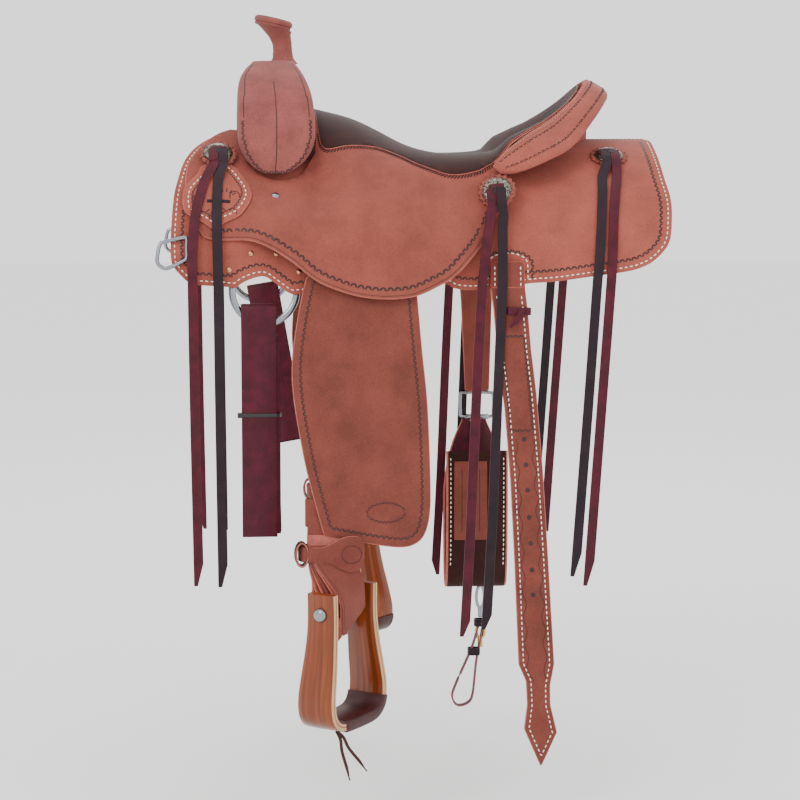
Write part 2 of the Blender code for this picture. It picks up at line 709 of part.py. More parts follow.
def make_conchos():
    for side, word in ((-1, "near"), (1, "off")):
        for place in CONCHOS:
            base, axis = concho_frame(place, side)
            add("concho_%s_%s" % (place, word), turned(CONCHO_SHAPE, 16, base, axis), SILVER, 30)


# Saddle strings below their conchos: x, out from the centre plane and height, in mm
STRINGS = {
    "front": (((-275, 181.8, 6), (-283, 198.2, -18), (-289.5, 212.3, -45), (-292.5, 221.9, -75),
               (-294, 228.1, -105), (-294, 234.8, -150), (-292.5, 234.8, -340),
               (-289.5, 234.8, -572)),
              ((-256.5, 181.8, 6), (-258.5, 198.2, -18), (-259, 213.2, -45), (-259, 222.7, -75),
               (-258.5, 228, -105), (-258, 234.8, -150), (-257, 234.8, -340), (-255, 234.8, -574))),
    "middle": (((131, 209, -44), (128, 215.5, -60), (125, 223.5, -76), (122, 229.5, -95),
                (118.5, 231.5, -125), (116, 231.8, -150), (109.5, 231.8, -280),
                (101.5, 231.8, -480), (92.5, 231.8, -653)),
               ((149, 207.5, -46), (148, 211.5, -56), (147, 215, -68), (146.5, 223, -92),
                (145.5, 229, -125), (145, 231.8, -150), (140, 231.8, -280),
                (132.5, 231.8, -480), (124, 231.8, -643))),
    "rear": (((301, 149, 8), (298, 168.5, -12), (293.5, 192, -45), (289, 210.5, -85),
              (285, 221, -125), (282, 225.5, -150), (271, 226.5, -320), (254, 226.5, -568)),
             ((322, 149, 8), (317, 169, -12), (311, 192.5, -45), (307, 210.8, -85),
              (304, 221.3, -125), (302, 225.5, -150), (290.5, 226.5, -320), (273, 226.5, -582))),
}
STRING_OVER = mm((0, 11.4), (14, 11.0), (21.5, 9.2), (28, 7.0))
STRING_TIP = 0.030


def strip(points, width, thick, out_at):
    """A flat strap along the points, pointed at both ends."""
    pts = list(points)
    lengths = [0.0]
    for a, b in zip(pts, pts[1:]):
        lengths.append(lengths[-1] + (b - a).length)
    rings = []
    for k, p in enumerate(pts):
        run = (pts[min(k + 1, len(pts) - 1)] - pts[max(k - 1, 0)]).normalized()
        out = out_at(p)
        out = (out - run * out.dot(run)).normalized()
        across = run.cross(out).normalized()
        ends = min(lengths[k], lengths[-1] - lengths[k])
        wide = width(k) * (0.25 + 0.75 * min(ends / STRING_TIP, 1.0)) / 2
        rings.append([p + across * wide - out * thick / 2, p + across * wide + out * thick / 2,
                      p - across * wide + out * thick / 2, p - across * wide - out * thick / 2])
    return loft(rings)


def make_strings():
    for side, word in ((-1, "near"), (1, "off")):
        for place, (first, second) in STRINGS.items():
            base, axis = concho_frame(place, side)
            down = Vector((0, side * axis.z, -side * axis.y)).normalized()
            across = down.cross(axis) * side
            over = [base + down * far + axis * high for far, high in STRING_OVER]
            tails = []
            for points, shift in ((first, -0.007), (second, 0.007)):
                tails.append([p + across * shift for p in over]
                             + [Vector((x, side * y, z)) for x, y, z in mm(*points)])
            route = tails[0][::-1] + tails[1]
            middle = len(tails[0]) - 0.5

            def width(k):
                return STRING_WIDTH if abs(k - middle) > 2 else 0.009

            def out_at(p):
                return outward(side * down_to(max(p.z, -0.14)))

            add("saddle_strings_%s_%s" % (place, word), strip(route, width, STRING_THICK, out_at),
                BURGUNDY)


# Straps on the rigging rings
LATIGO_WIDTH = 0.050
LATIGO_SHIFT = -0.0086
LATIGO_THICK = 0.0150
LATIGO_END = -0.505
SLOT_THICK = 0.0102
STRAP_OUT = 0.0074
BILLET_OFF_END = -0.400
# The photo shows the off billet a little behind the latigo, and no off fender or stirrup.
OFF_BILLET_REST = radians(-10)
OFF_FENDER_REST = radians(-4)


def ring_strap(side, low, shift):
    """A folded strap hung on the ring: a tall loop with a slot for the ring's bar."""
    mid = -RING_OUTER + RING_WIDTH / 2
    sag = LATIGO_WIDTH / 2 + abs(shift)
    up = sqrt((RING_OUTER - RING_WIDTH) ** 2 - sag ** 2)
    slot_low, slot_high = -RING_OUTER - 0.0010, -up + 0.0018
    y = LATIGO_THICK / 2
    length = RING_Z - low
    outer = [(-y + 0.003, slot_high + 0.004), (y - 0.003, slot_high + 0.004),
             (y, slot_high + 0.001), (y, mid), (y, -length + 0.003), (y - 0.003, -length),
             (-y + 0.003, -length), (-y, -length + 0.003), (-y, mid), (-y, slot_high + 0.001)]
    h = SLOT_THICK / 2
    slot = [(-h, slot_high), (h, slot_high), (h, slot_high), (h, mid), (h, slot_low),
            (h, slot_low), (-h, slot_low), (-h, slot_low), (-h, mid), (-h, slot_high)]
    rows = []
    for x in (RING_X + shift - LATIGO_WIDTH / 2, RING_X + shift + LATIGO_WIDTH / 2):
        for loop in (outer, slot):
            rows.append([Vector((x, side * (strap_y() + v), RING_Z + w)) for v, w in loop])
    return loft([rows[0], rows[1], rows[3], rows[2]], closed=True)


def strap_y():
    """The strap's middle: where the tilted ring's lower bar is."""
    return ring_centre().y + STRAP_OUT


def make_ring_straps():
    add("latigo_near", ring_strap(-1, LATIGO_END, LATIGO_SHIFT), BURGUNDY)
    add("billet_off", ring_strap(1, BILLET_OFF_END, 0.0), BURGUNDY)
    inner_x, inner_y = LATIGO_WIDTH / 2 + 0.0004, LATIGO_THICK / 2 + 0.0004
    outer_x, outer_y = inner_x + 0.002, inner_y + 0.002
    rows = []
    for z in (-0.325, -0.330):
        for hx, hy in ((outer_x, outer_y), (inner_x, inner_y)):
            rows.append([Vector((RING_X + LATIGO_SHIFT + u * hx, v * hy - strap_y(), z))
                         for u, v in ((-1, -1), (1, -1), (1, 1), (-1, 1))])
    add("latigo_tie", loft([rows[0], rows[1], rows[3], rows[2]], closed=True), PLASTIC)


# Fender, stirrup leather and hobble strap
FENDER_NECK = mm((-20, -62), (-10, -80), (0, -100), (11, -120), (22.9, -156.6))
FENDER_RIGHT = mm((22.9, -156.6), (29, -235), (35.6, -312), (38.2, -413.6), (36.9, -460.7),
                  (29, -490.7), (13.9, -505), (-9, -508.6), (-47.3, -503.6))
FENDER_LEFT = mm((-113.8, -490.7), (-133.9, -413.6), (-144.2, -363.6), (-154.3, -299),
                 (-155.6, -248), (-146.6, -185), (-135.2, -134))
FENDER_LEFT_NECK = mm((-135, -134), (-123, -120), (-110, -100), (-100, -80), (-90, -62))


def make_fender(side, word):
    outline = FENDER_NECK + spline(FENDER_RIGHT, 2)[1:] + spline(FENDER_LEFT, 2)
    outline += FENDER_LEFT_NECK[1:]
    outline = [(x, side * down_to(z, LEATHER_IN + LEATHER_THICK)) for x, z in outline]
    low = LEATHER_IN + LEATHER_THICK + 0.0012
    add("fender_" + word, slab(outline, low, low + FENDER_THICK, top=CREST_MIDDLE), TAN)

    # The stirrup leather follows the fender, then turns to the stirrup's bolt.
    rings = []
    stations = [(-0.036, 0.028), (-0.045, 0.034), (-0.065, 0.035), (-0.085, 0.035),
                (-0.105, 0.035), (-0.125, 0.034), (-0.15, 0.034), (-0.25, 0.033), (-0.35, 0.032),
                (-0.43, 0.031), (-0.50, 0.031)]
    for z, half in stations:
        s = down_to(z, LEATHER_IN)
        x = FENDER_AXIS_X - LEATHER_DRIFT * ease((LEATHER_DRIFT_TOP - z) / 0.35)
        ring = []
        for u, d in ((-1, LEATHER_IN), (1, LEATHER_IN), (1, LEATHER_IN + LEATHER_THICK),
                     (-1, LEATHER_IN + LEATHER_THICK)):
            ring.append(back(x + u * half, side * s, d, CREST_MIDDLE))
        rings.append(ring)
    last = sum(rings[-1], Vector()) / 4
    bolt = bolt_centre(side)
    end = bolt + Vector((0, 0, BOLT_RADIUS + 0.0008))
    for k in range(1, 6):
        share = k / 5
        turn = STIRRUP_TURN * ease(share)
        centre = last.lerp(end, share)
        centre.x = last.x + (end.x - last.x) * ease(share)
        across = Vector((cos(turn), -side * sin(turn), 0)) * (0.031 - 0.001 * k)
        out = Vector((sin(turn), side * cos(turn), 0)) * LEATHER_THICK / 2
        rings.append([centre - across - out, centre + across - out, centre + across + out,
                      centre - across + out])
    leather = add("stirrup_leather_" + word, loft(rings), TAN)
    heel_low = down_to(FENDER_AXIS_Z - HEEL_RADIUS)
    heel_in = back(0, heel_low, 0, CREST_MIDDLE).y + GAP
    heel_out = back(0, heel_low, LEATHER_IN + 0.002, CREST_MIDDLE).y
    place = Vector((FENDER_AXIS_X, side * heel_in, FENDER_AXIS_Z))
    reach = heel_out - heel_in
    trim(leather, turned([(0, 0), (HEEL_RADIUS, 0), (HEEL_RADIUS, reach), (0, reach)], 14,
                         place, (0, side, 0)), "UNION")


def bolt_centre(side):
    return Vector((STIRRUP_X, side * STIRRUP_Y, STIRRUP_TOP - BOLT_DROP))


def span_axis(side):
    """From the outer, front branch of a stirrup to its inner, rear branch."""
    return Vector((cos(STIRRUP_TURN), -side * sin(STIRRUP_TURN), 0))


# Half outline of the bow from its top to the middle of the tread: out from the middle, down
BOW_LINE = mm((47.5, 0), (46.5, 30), (48, 60), (53, 95), (60, 130), (63, 152), (60, 170), (50, 180),
              (34, 184), (0, 185))
BOW_WIDE = mm((0, 44), (60, 46), (120, 54), (150, 57), (200, 58))
BOW_THICK = 0.0105


def make_stirrup(side, word):
    axis = span_axis(side)
    depth = Vector((0, 0, 1)).cross(axis)
    top = Vector((STIRRUP_X, side * STIRRUP_Y, STIRRUP_TOP))
    line = [(-x, z) for x, z in BOW_LINE] + list(reversed(BOW_LINE))[1:]
    rings = []
    tread = []
    for k, (x, drop) in enumerate(line):
        before, after = line[max(k - 1, 0)], line[min(k + 1, len(line) - 1)]
        run = Vector((after[0] - before[0], 0, -(after[1] - before[1]))).normalized()
        out = Vector((run.z, 0, -run.x))
        wide = along(BOW_WIDE, drop) / 2

        def place(f, offset):
            centre = Vector((x, 0, -drop)) + out * offset
            return top + axis * centre.x + Vector((0, 0, centre.z)) + depth * f * wide

        rings.append([place(-1, 0), place(1, 0), place(1, BOW_THICK), place(-1, BOW_THICK)])
        if drop > 0.165:
            tread.append([place(-0.98, -0.0004), place(0.98, -0.0004), place(0.9, -0.0035),
                          place(-0.9, -0.0035)])
    bow = add("stirrup_bow_" + word, loft(rings), WOOD)
    bolt = bolt_centre(side)
    reach = STIRRUP_NECK / 2 + BOW_THICK
    turned_bolt = [(0, -reach - 0.002), (BOLT_RADIUS + 0.0005, -reach - 0.002),
                   (BOLT_RADIUS + 0.0005, reach + 0.002), (0, reach + 0.002)]
    trim(bow, turned(turned_bolt, 14, bolt, axis))
    head = 0.0095
    shape = [(0, -reach - 0.006), (head * 0.6, -reach - 0.0055), (head, -reach - 0.003),
             (head, -reach - 0.0006), (BOLT_RADIUS, -reach - 0.0006),
             (BOLT_RADIUS, reach + 0.0006), (head, reach + 0.0006), (head, reach + 0.003),
             (head * 0.6, reach + 0.0055), (0, reach + 0.006)]
    add("stirrup_bolt_" + word, turned(shape, 14, bolt, axis), STEEL)
    add("stirrup_tread_" + word, loft(tread), DARK)


HOBBLE_Z = -0.516
HOBBLE_HIGH = 0.022


def make_hobble(side, word):
    """A strap round the turned leathers, just above the stirrup."""
    turn = STIRRUP_TURN * 0.1
    centre = Vector((-0.1030, side * 0.2938, HOBBLE_Z))
    across = Vector((cos(turn), -side * sin(turn), 0))
    out = Vector((sin(turn), side * cos(turn), 0))
    rows = []
    for z in (HOBBLE_Z + HOBBLE_HIGH / 2, HOBBLE_Z - HOBBLE_HIGH / 2):
        for hx, hy in ((0.0445, 0.0134), (0.0410, 0.0099)):
            loop = []
            for u, v in ((-1, -0.5), (-0.92, -1), (0.92, -1), (1, -0.5), (1, 0.5), (0.92, 1),
                         (-0.92, 1), (-1, 0.5)):
                p = centre + across * u * hx + out * v * hy
                loop.append(Vector((p.x, p.y, z)))
            rows.append(loop)
    add("hobble_strap_" + word, loft([rows[0], rows[1], rows[3], rows[2]], closed=True), TAN)


# Flank billets, cinch and connector
FLANK_LEFT = mm((128.5, -149), (132.8, -179), (138.4, -238), (149.6, -321.7), (158.4, -425.5),
                (164.8, -540.8), (172, -696.6), (183, -722), (185, -757), (180.7, -793),
                (206.2, -851.5))
FLANK_RIGHT = mm((229.7, -799), (219.6, -757), (219, -729), (224.8, -696.6), (214.7, -540.8),
                 (205.9, -411.1), (195.9, -300), (187.9, -238), (182.5, -179), (178.5, -149))
BILLET_Y = 0.2257
BEND_Z = -0.1490
OFF_FLANK_END = -347.4


def stack(rings):
    """A bmesh through rings of equal count, each end closed by its own ring."""
    bm = bmesh.new()
    rows = [[bm.verts.new(p) for p in ring] for ring in rings]
    n = len(rows[0])
    for a, b in zip(rows, rows[1:]):
        for j in range(n):
            bm.faces.new((a[j], a[(j + 1) % n], b[(j + 1) % n], b[j]))
    bmesh.ops.triangulate(bm, faces=[bm.faces.new(rows[0]), bm.faces.new(rows[-1])])
    return bm


def upright(outline, side):
    """A strap in an upright plane, its top end rounded about the bend."""
    rings = []
    for share, rise in ((-1, 0.0), (-0.5, 0.0026), (0.5, 0.0026), (1, 0.0)):
        y = side * (BILLET_Y + share * BILLET_THICK / 2)
        rings.append([Vector((x, y, z + (rise if z > BEND_Z - 1e-6 else 0.0)))
                      for x, z in outline])
    return stack(rings)


def make_flank():
    add("flank_billet_near", upright(FLANK_LEFT + FLANK_RIGHT, -1), TAN)
    outline = mm((128.5, -149), (133, -200), (140, OFF_FLANK_END), (180, OFF_FLANK_END),
                 (184, -200), (178.5, -149))
    add("flank_billet_off", upright(outline, 1), TAN)
    for side, word in ((-1, "near"), (1, "off")):
        add("billet_chape_" + word, chape(side), TAN)
    make_cinch()


def chape(side):
    """A folded strap top lying on the skirt's face, from its slot down to the bend."""
    slot, lip = down_to(-0.1120), down_to(BEND_Z + 0.0025, 0.0008)
    rings = []
    for x in (FLANK_LEFT[0][0], FLANK_RIGHT[-1][0]):
        rings.append([back(x, side * s, d) for s, d in ((slot, 0.0008), (slot, 0.0068),
                                                        (lip, 0.0068), (lip, 0.0008))])
    return loft(rings)


CINCH_X = (0.105, 0.205)
CINCH_THICK = 0.006
CINCH_Y = 0.2257
# The cinch's hanging loop, seen end on: out from the centre plane and height
CINCH_LINE = mm((225.7, -393.1), (226, -430), (227, -520), (224, -600), (215, -645), (199, -664),
                (181, -650), (173, -610), (171, -540), (173, -470), (178, -440))


def make_cinch():
    line = spline(CINCH_LINE, 2)
    rings = []
    for k, (y, z) in enumerate(line):
        a, b = line[max(k - 1, 0)], line[min(k + 1, len(line) - 1)]
        run = Vector((0, b[0] - a[0], b[1] - a[1])).normalized()
        out = Vector((0, -run.z, run.y))
        centre = Vector((0, y, z))
        narrow = 0.030 * (1 - ease(k / 3)) if k < 3 else 0.0
        x0, x1 = CINCH_X[0] + narrow, CINCH_X[1] - narrow
        o = out * CINCH_THICK / 2
        rings.append([centre - o + Vector((x0, 0, 0)), centre - o + Vector((x1, 0, 0)),
                      centre + o + Vector((x1, 0, 0)), centre + o + Vector((x0, 0, 0))])
    add("flank_cinch", loft(rings), DARK)
    buckle = [Vector((x, CINCH_Y, z)) for x, z in mm((138, -350.5), (182, -350.5), (187, -356),
                                                     (187, -381), (182, -390), (138, -390),
                                                     (133, -381), (133, -356))]
    add("flank_buckle", tube_loop(buckle, 0.0028), STEEL, 60)
    points = [Vector((x, 0.199, z)) for x, z in mm((160, -667.7), (160, -735), (150, -770),
                                                   (124, -830), (118, -852), (127, -866),
                                                   (144, -862), (152, -846), (158, -790),
                                                   (168, -735), (168, -667.7))]
    add("cinch_connector", tube_loop(points, 0.0032), DARK, 60)


make_lining()
make_seat()
make_cantle()
make_fork()
make_horn()
make_rigging()
make_conchos()
make_strings()
make_ring_straps()
for hand, title in ((-1, "near"), (1, "off")):
    make_fender(hand, title)
    make_stirrup(hand, title)
    make_hobble(hand, title)
make_flank()
swung(("fender_off", "stirrup_leather_off", "hobble_strap_off", "stirrup_bow_off",
       "stirrup_bolt_off", "stirrup_tread_off"),
      OFF_FENDER_REST, (FENDER_AXIS_X, 0, FENDER_AXIS_Z), (0, 1, 0))
swung(("billet_off",), OFF_BILLET_REST, (RING_X, ring_centre().y, RING_Z), ring_axis(1))
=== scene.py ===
"""Western cow horse saddle: leather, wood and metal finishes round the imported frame.

+X runs to the horse's tail, -Y is the near side and +Z is up, all in metres.
"""
from math import acos, atan2, ceil, cos, floor, hypot, pi, radians, sin, sqrt

import bmesh
import bpy
from bpy.props import FloatProperty, FloatVectorProperty, IntProperty, PointerProperty
from mathutils import Matrix, Vector, noise


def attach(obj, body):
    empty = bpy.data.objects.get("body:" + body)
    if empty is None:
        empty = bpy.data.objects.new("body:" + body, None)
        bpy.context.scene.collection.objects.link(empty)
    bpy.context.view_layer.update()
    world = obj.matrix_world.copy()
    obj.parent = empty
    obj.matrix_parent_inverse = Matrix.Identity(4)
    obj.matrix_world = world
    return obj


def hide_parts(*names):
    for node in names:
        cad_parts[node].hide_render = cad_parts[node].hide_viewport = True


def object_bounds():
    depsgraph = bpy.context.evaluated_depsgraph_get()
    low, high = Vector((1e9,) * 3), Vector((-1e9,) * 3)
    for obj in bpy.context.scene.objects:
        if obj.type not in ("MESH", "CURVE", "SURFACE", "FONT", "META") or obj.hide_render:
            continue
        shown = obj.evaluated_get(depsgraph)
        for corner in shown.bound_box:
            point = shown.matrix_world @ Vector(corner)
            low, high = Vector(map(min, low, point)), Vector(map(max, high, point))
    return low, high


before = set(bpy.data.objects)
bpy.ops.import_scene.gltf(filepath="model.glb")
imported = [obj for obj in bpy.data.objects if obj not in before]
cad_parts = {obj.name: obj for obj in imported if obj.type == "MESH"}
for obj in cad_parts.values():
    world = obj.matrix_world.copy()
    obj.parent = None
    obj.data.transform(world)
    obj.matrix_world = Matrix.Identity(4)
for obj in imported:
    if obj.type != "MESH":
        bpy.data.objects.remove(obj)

bl_info = {"name": "Cow Horse Saddle", "version": (1, 0, 0), "blender": (4, 5, 0),
           "location": "View3D > Sidebar > Saddle",
           "description": "Builds the saddle's leather, wood and metal pieces round its frame",
           "category": "Object"}

CAD_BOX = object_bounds()
SIDES = ((-1, "near"), (1, "off"))
BODY = "saddle"

# The horse's back, as in the frame: a round back with straight sides
BACK_RADIUS = 0.220
SIDE_ANGLE = radians(80)
CREST_MIDDLE = 0.0575
CREST_FRONT_RISE = 0.0255
CREST_REAR_RISE = 0.0045

# Leather thicknesses
SKIRT_THICK = 0.0050
JOCKEY_THICK = 0.0040
KEEPER_THICK = 0.0035
FLEECE_THICK = 0.0140
PLUG_THICK = 0.0062
BAR_THICK = 0.0160
GAP = 0.0003
JOCKEY_STAND = 0.030
JOCKEY_LIE = 0.0048
EAR_LIE = 0.0100

# The off rigging ring's centre and axis, and the fenders' hinge line
RING_X = -0.193
RING_Y = 0.21557
RING_Z = -0.152
RING_AXIS = (0.0348, 0.9842, 0.1735)
FENDER_AXIS_X = -0.055
FENDER_AXIS_Z = -0.045


def ease(t):
    t = min(max(t, 0.0), 1.0)
    return t * t * (3 - 2 * t)


def mm(*points):
    return [tuple(v / 1000 for v in p) for p in points]


def along(points, x):
    """Smooth value at x through (x, value) points."""
    if x <= points[0][0]:
        return points[0][1]
    for k in range(len(points) - 1):
        (x0, v0), (x1, v1) = points[k], points[k + 1]
        if x <= x1:
            before = points[k - 1] if k else points[k]
            after = points[k + 2] if k + 2 < len(points) else points[k + 1]
            m0 = (v1 - before[1]) / (x1 - before[0])
            m1 = (after[1] - v0) / (after[0] - x0)
            h = x1 - x0
            t = (x - x0) / h
            return (v0 * (2 * t**3 - 3 * t**2 + 1) + h * m0 * (t**3 - 2 * t**2 + t)
                    + v1 * (3 * t**2 - 2 * t**3) + h * m1 * (t**3 - t**2))
    return points[-1][1]


def spline(points, steps=6, closed=False):
    """A smooth curve through the points, as a list of tuples."""
    n = len(points)
    out = []
    for k in range(n if closed else n - 1):
        a = points[k - 1] if closed or k else points[k]
        b, c = points[k], points[(k + 1) % n]
        e = points[(k + 2) % n] if closed or k + 2 < n else points[k + 1]
        for j in range(steps):
            t = j / steps
            out.append(tuple(0.5 * (2 * q + (r - p) * t + (2 * p - 5 * q + 4 * r - w) * t**2
                                    + (3 * q - p - 3 * r + w) * t**3)
                             for p, q, r, w in zip(a, b, c, e)))
    return out if closed else out + [tuple(points[-1])]


def crest(x):
    return (CREST_MIDDLE + CREST_FRONT_RISE * ease((-0.10 - x) / 0.16)
            + CREST_REAR_RISE * ease((x - 0.15) / 0.15))


def back(x, s, d, top=None):
    """The point at s down the leather from the centre line and d out from the skirt."""
    z = (crest(x) if top is None else top) - BACK_RADIUS
    angle = min(abs(s) / BACK_RADIUS, SIDE_ANGLE)
    run = max(abs(s) - BACK_RADIUS * SIDE_ANGLE, 0.0)
    y = (BACK_RADIUS + d) * sin(angle) + run * cos(SIDE_ANGLE)
    z += (BACK_RADIUS + d) * cos(angle) - run * sin(SIDE_ANGLE)
    return Vector((x, y if s >= 0 else -y, z))


def down_to(z, d=0.0, top=CREST_MIDDLE):
    """How far down the leather a height lies."""
    c = (z - top + BACK_RADIUS) / (BACK_RADIUS + d)
    if c > cos(SIDE_ANGLE):
        return BACK_RADIUS * acos(min(c, 1.0))
    low = top - BACK_RADIUS + (BACK_RADIUS + d) * cos(SIDE_ANGLE)
    return BACK_RADIUS * SIDE_ANGLE + (low - z) / sin(SIDE_ANGLE)


def on_panel(x, y, z):
    """(x, s, d) of a point in space."""
    rise = z - crest(x) + BACK_RADIUS
    return x, BACK_RADIUS * atan2(y, rise), hypot(y, rise) - BACK_RADIUS


# Heights of the seat leather over the back, and the cantle's rim and roll
SEAT_CREST = mm((-116, 106), (-110, 105), (-57, 91), (-18, 73), (11, 57), (41, 43.5), (70.5, 35),
                (100, 32), (129, 31), (165, 36), (200, 49), (230, 72), (260, 106), (290, 148))
RIM = mm((138, 166, 22), (154, 160, 42), (187, 140, 66.6), (225.7, 115, 89), (264, 80, 118),
         (286, 40, 141), (293, 0, 149))
ROLL_EDGE = mm((149, 180, 13), (174, 185, 16), (214.5, 176, 31), (255.5, 155, 52),
               (294.5, 115, 93), (322, 55, 122), (331, 0, 129))
RIM_PANEL = [on_panel(*p) for p in RIM]
RIM_S = [(x, s) for x, s, d in RIM_PANEL]
RIM_D = [(x, d) for x, s, d in RIM_PANEL]
SHOULDER_S = mm((-114, 190), (-70, 180), (75, 175), (100, 170), (141, 152))
SHOULDER_D = mm((-114, 8), (-70, 21), (75, 22), (100, 22), (141, 20))
SKIRT_S = mm((-114, 262), (-70, 250), (75, 245), (100, 222), (141, 185))
SEAT_START = -0.114
FORK_TIP_X = -0.145
STAND_FRONT = (-0.240, -0.172)
STAND_REAR = (0.075, 0.125)


def stand(x):
    """How far the jockey's lower part stands off the skirt."""
    front = ease((x - STAND_FRONT[0]) / (STAND_FRONT[1] - STAND_FRONT[0]))
    rear = ease((x - STAND_REAR[0]) / (STAND_REAR[1] - STAND_REAR[0]))
    return JOCKEY_LIE + (JOCKEY_STAND - JOCKEY_LIE) * front + (EAR_LIE - JOCKEY_STAND) * rear


def seat(x, s):
    """Outer face of the seat and jockey leather."""
    s = abs(s)
    if x < SEAT_START:
        prong = JOCKEY_LIE + (stand(x) - JOCKEY_LIE) * ease((s - 0.195) / 0.067)
        behind = ease((0.165 - s) / 0.060) if x > FORK_TIP_X else 0.0
        return prong + (seat(SEAT_START, s) - prong) * behind if behind else prong
    middle = along(SEAT_CREST, x) - crest(x)
    if x < 0.141:
        s1, d1, s2 = along(SHOULDER_S, x), along(SHOULDER_D, x), along(SKIRT_S, x)
    else:
        s1 = along(RIM_S, x)
        d1 = 0.020 + (along(RIM_D, x) - 0.0026 - 0.020) * ease((x - 0.141) / 0.03)
        s2 = 0.185
    if s < s1 or x > 0.17:
        return middle + (d1 - middle) * ease(s / max(s1, 0.001))
    return d1 + (stand(x) - d1) * ease((s - s1) / (s2 - s1))


def dip(x, s):
    """How far the bars drop under the seat."""
    if x < -0.10 or x > 0.24:
        return 0.0
    return max(0.0, 0.0082 - seat(x, s))


def lining_top(x, s):
    s = abs(s)
    over_bar = ease((x + 0.320) / 0.035) * ease((0.395 - x) / 0.030) * ease((0.212 - s) / 0.027)
    over_ring = ease((-0.050 - x) / 0.030)
    return -SKIRT_THICK - 0.0007 - max(PLUG_THICK * over_ring,
                                       (BAR_THICK + 0.0005 + dip(x, s)) * over_bar)


# Outlines in (x, s)
SKIRT_FRONT = mm((-105, 41), (-227, 41), (-256, 76), (-287, 114), (-306, 151), (-316, 190),
                 (-322, 222), (-326, 277), (-326, 314), (-320, 329), (-300, 349), (-281, 353),
                 (-242, 355))
RIGGING_ARCH = mm((-233, 355), (-217, 342), (-194, 331), (-180, 336), (-160, 346), (-149, 347),
                  (-139, 344), (-90, 332), (0, 322), (60, 326))
SKIRT_REAR = mm((69, 328), (80, 334), (111, 336), (181, 328), (234, 326), (315, 317), (350, 309),
                (373, 295), (391, 272), (397, 240), (399, 203), (394, 154), (392, 85), (393, 40))
SKIRT_TOP = mm((386, 1.5), (240, 1.5), (205, 70), (150, 140), (20, 150), (-60, 140))
FLEECE = mm((-130, 50), (-222, 50), (-252, 84), (-280, 118), (-300, 152), (-311, 190), (-320, 277),
            (-320, 312), (-297, 342), (-245, 347), (-215, 333), (-180, 330), (-140, 334), (0, 314),
            (78, 326), (180, 320), (315, 309), (348, 301), (380, 280), (391, 240), (388, 154),
            (386, 85), (386, 20), (240, 22), (130, 32), (-60, 34))
NOTCH = mm((-115.5, 0), (-115.5, 100), (-116, 118), (-137, 154), (-162, 174), (-180, 179),
           (-198, 174), (-213, 158), (-221, 126), (-222, 84), (-224, 62))
PRONG = mm((-240, 66), (-262, 92), (-284, 128), (-300, 165), (-304, 205), (-297, 248), (-279, 284))
JOCKEY_EDGE = mm((-279, 284), (-257, 289), (-220, 286), (-202, 288), (-176, 296), (-149, 307),
                 (-128, 321), (-105, 332), (-71, 344), (-36, 350), (-2, 350), (25, 345), (55, 331),
                 (71, 322), (91, 304), (118, 272), (143, 225), (163, 202))
RIM_INSET = mm((168, 190), (152, 168), (147, 152), (153, 138), (184, 115.5), (221.5, 90.5),
               (259, 58.5), (280.5, 27.5), (287, 0))
INLAY_EDGE = mm((-113, 40), (-111, 83), (-107, 110), (-94, 118), (-64, 113), (-26, 112), (4, 127),
                (28, 146), (55, 162), (73, 170), (95, 170), (120, 162), (139, 147), (149.5, 135.5),
                (182, 114), (219.5, 89.5), (257.5, 57.5), (279, 27), (285.5, 0))
KEEPER = mm((-242, 166), (-219, 191), (-210, 210), (-212, 229), (-226, 251), (-246, 263),
            (-264, 273), (-279, 264), (-298, 254), (-307, 241), (-305, 211), (-287, 187),
            (-277, 170))


# Finishes
def linear(text):
    """A hex colour as the linear values that shaders use."""
    parts = [int(text[k:k + 2], 16) / 255 for k in (0, 2, 4)]
    return tuple(c / 12.92 if c < 0.04045 else ((c + 0.055) / 1.055) ** 2.4 for c in parts)


def toned(rgb, factor):
    return tuple(min(c * factor, 1.0) for c in rgb)


def colour_of(name):
    """One of the scene's colours by its name, or a hex colour."""
    own = bpy.context.scene.saddle_colours
    return tuple(getattr(own, name)) if name in own.__annotations__ else linear(name)


def node(tree, kind, inputs=None, stops=(), **settings):
    """Add a shader node with its settings, values, links and colour stops."""
    made = tree.nodes.new(kind)
    for name, value in settings.items():
        setattr(made, name, value)
    for key, value in (inputs or {}).items():
        if isinstance(value, bpy.types.NodeSocket):
            tree.links.new(value, made.inputs[key])
        else:
            made.inputs[key].default_value = value
    for k, (position, colour) in enumerate(stops):
        elements = made.color_ramp.elements
        stop = elements[k] if k < 2 else elements.new(position)
        stop.position = position
        stop.color = (*colour, 1)
    return made


def start(name, roughness, metallic=0.0, **values):
    """A new material, its tree and its shader."""
    made = bpy.data.materials.new(name)
    made.use_nodes = True
    shader = made.node_tree.nodes["Principled BSDF"]
    for key, value in {"Roughness": roughness, "Metallic": metallic, **values}.items():
        shader.inputs[key.replace("_", " ")].default_value = value
    return made, made.node_tree, shader


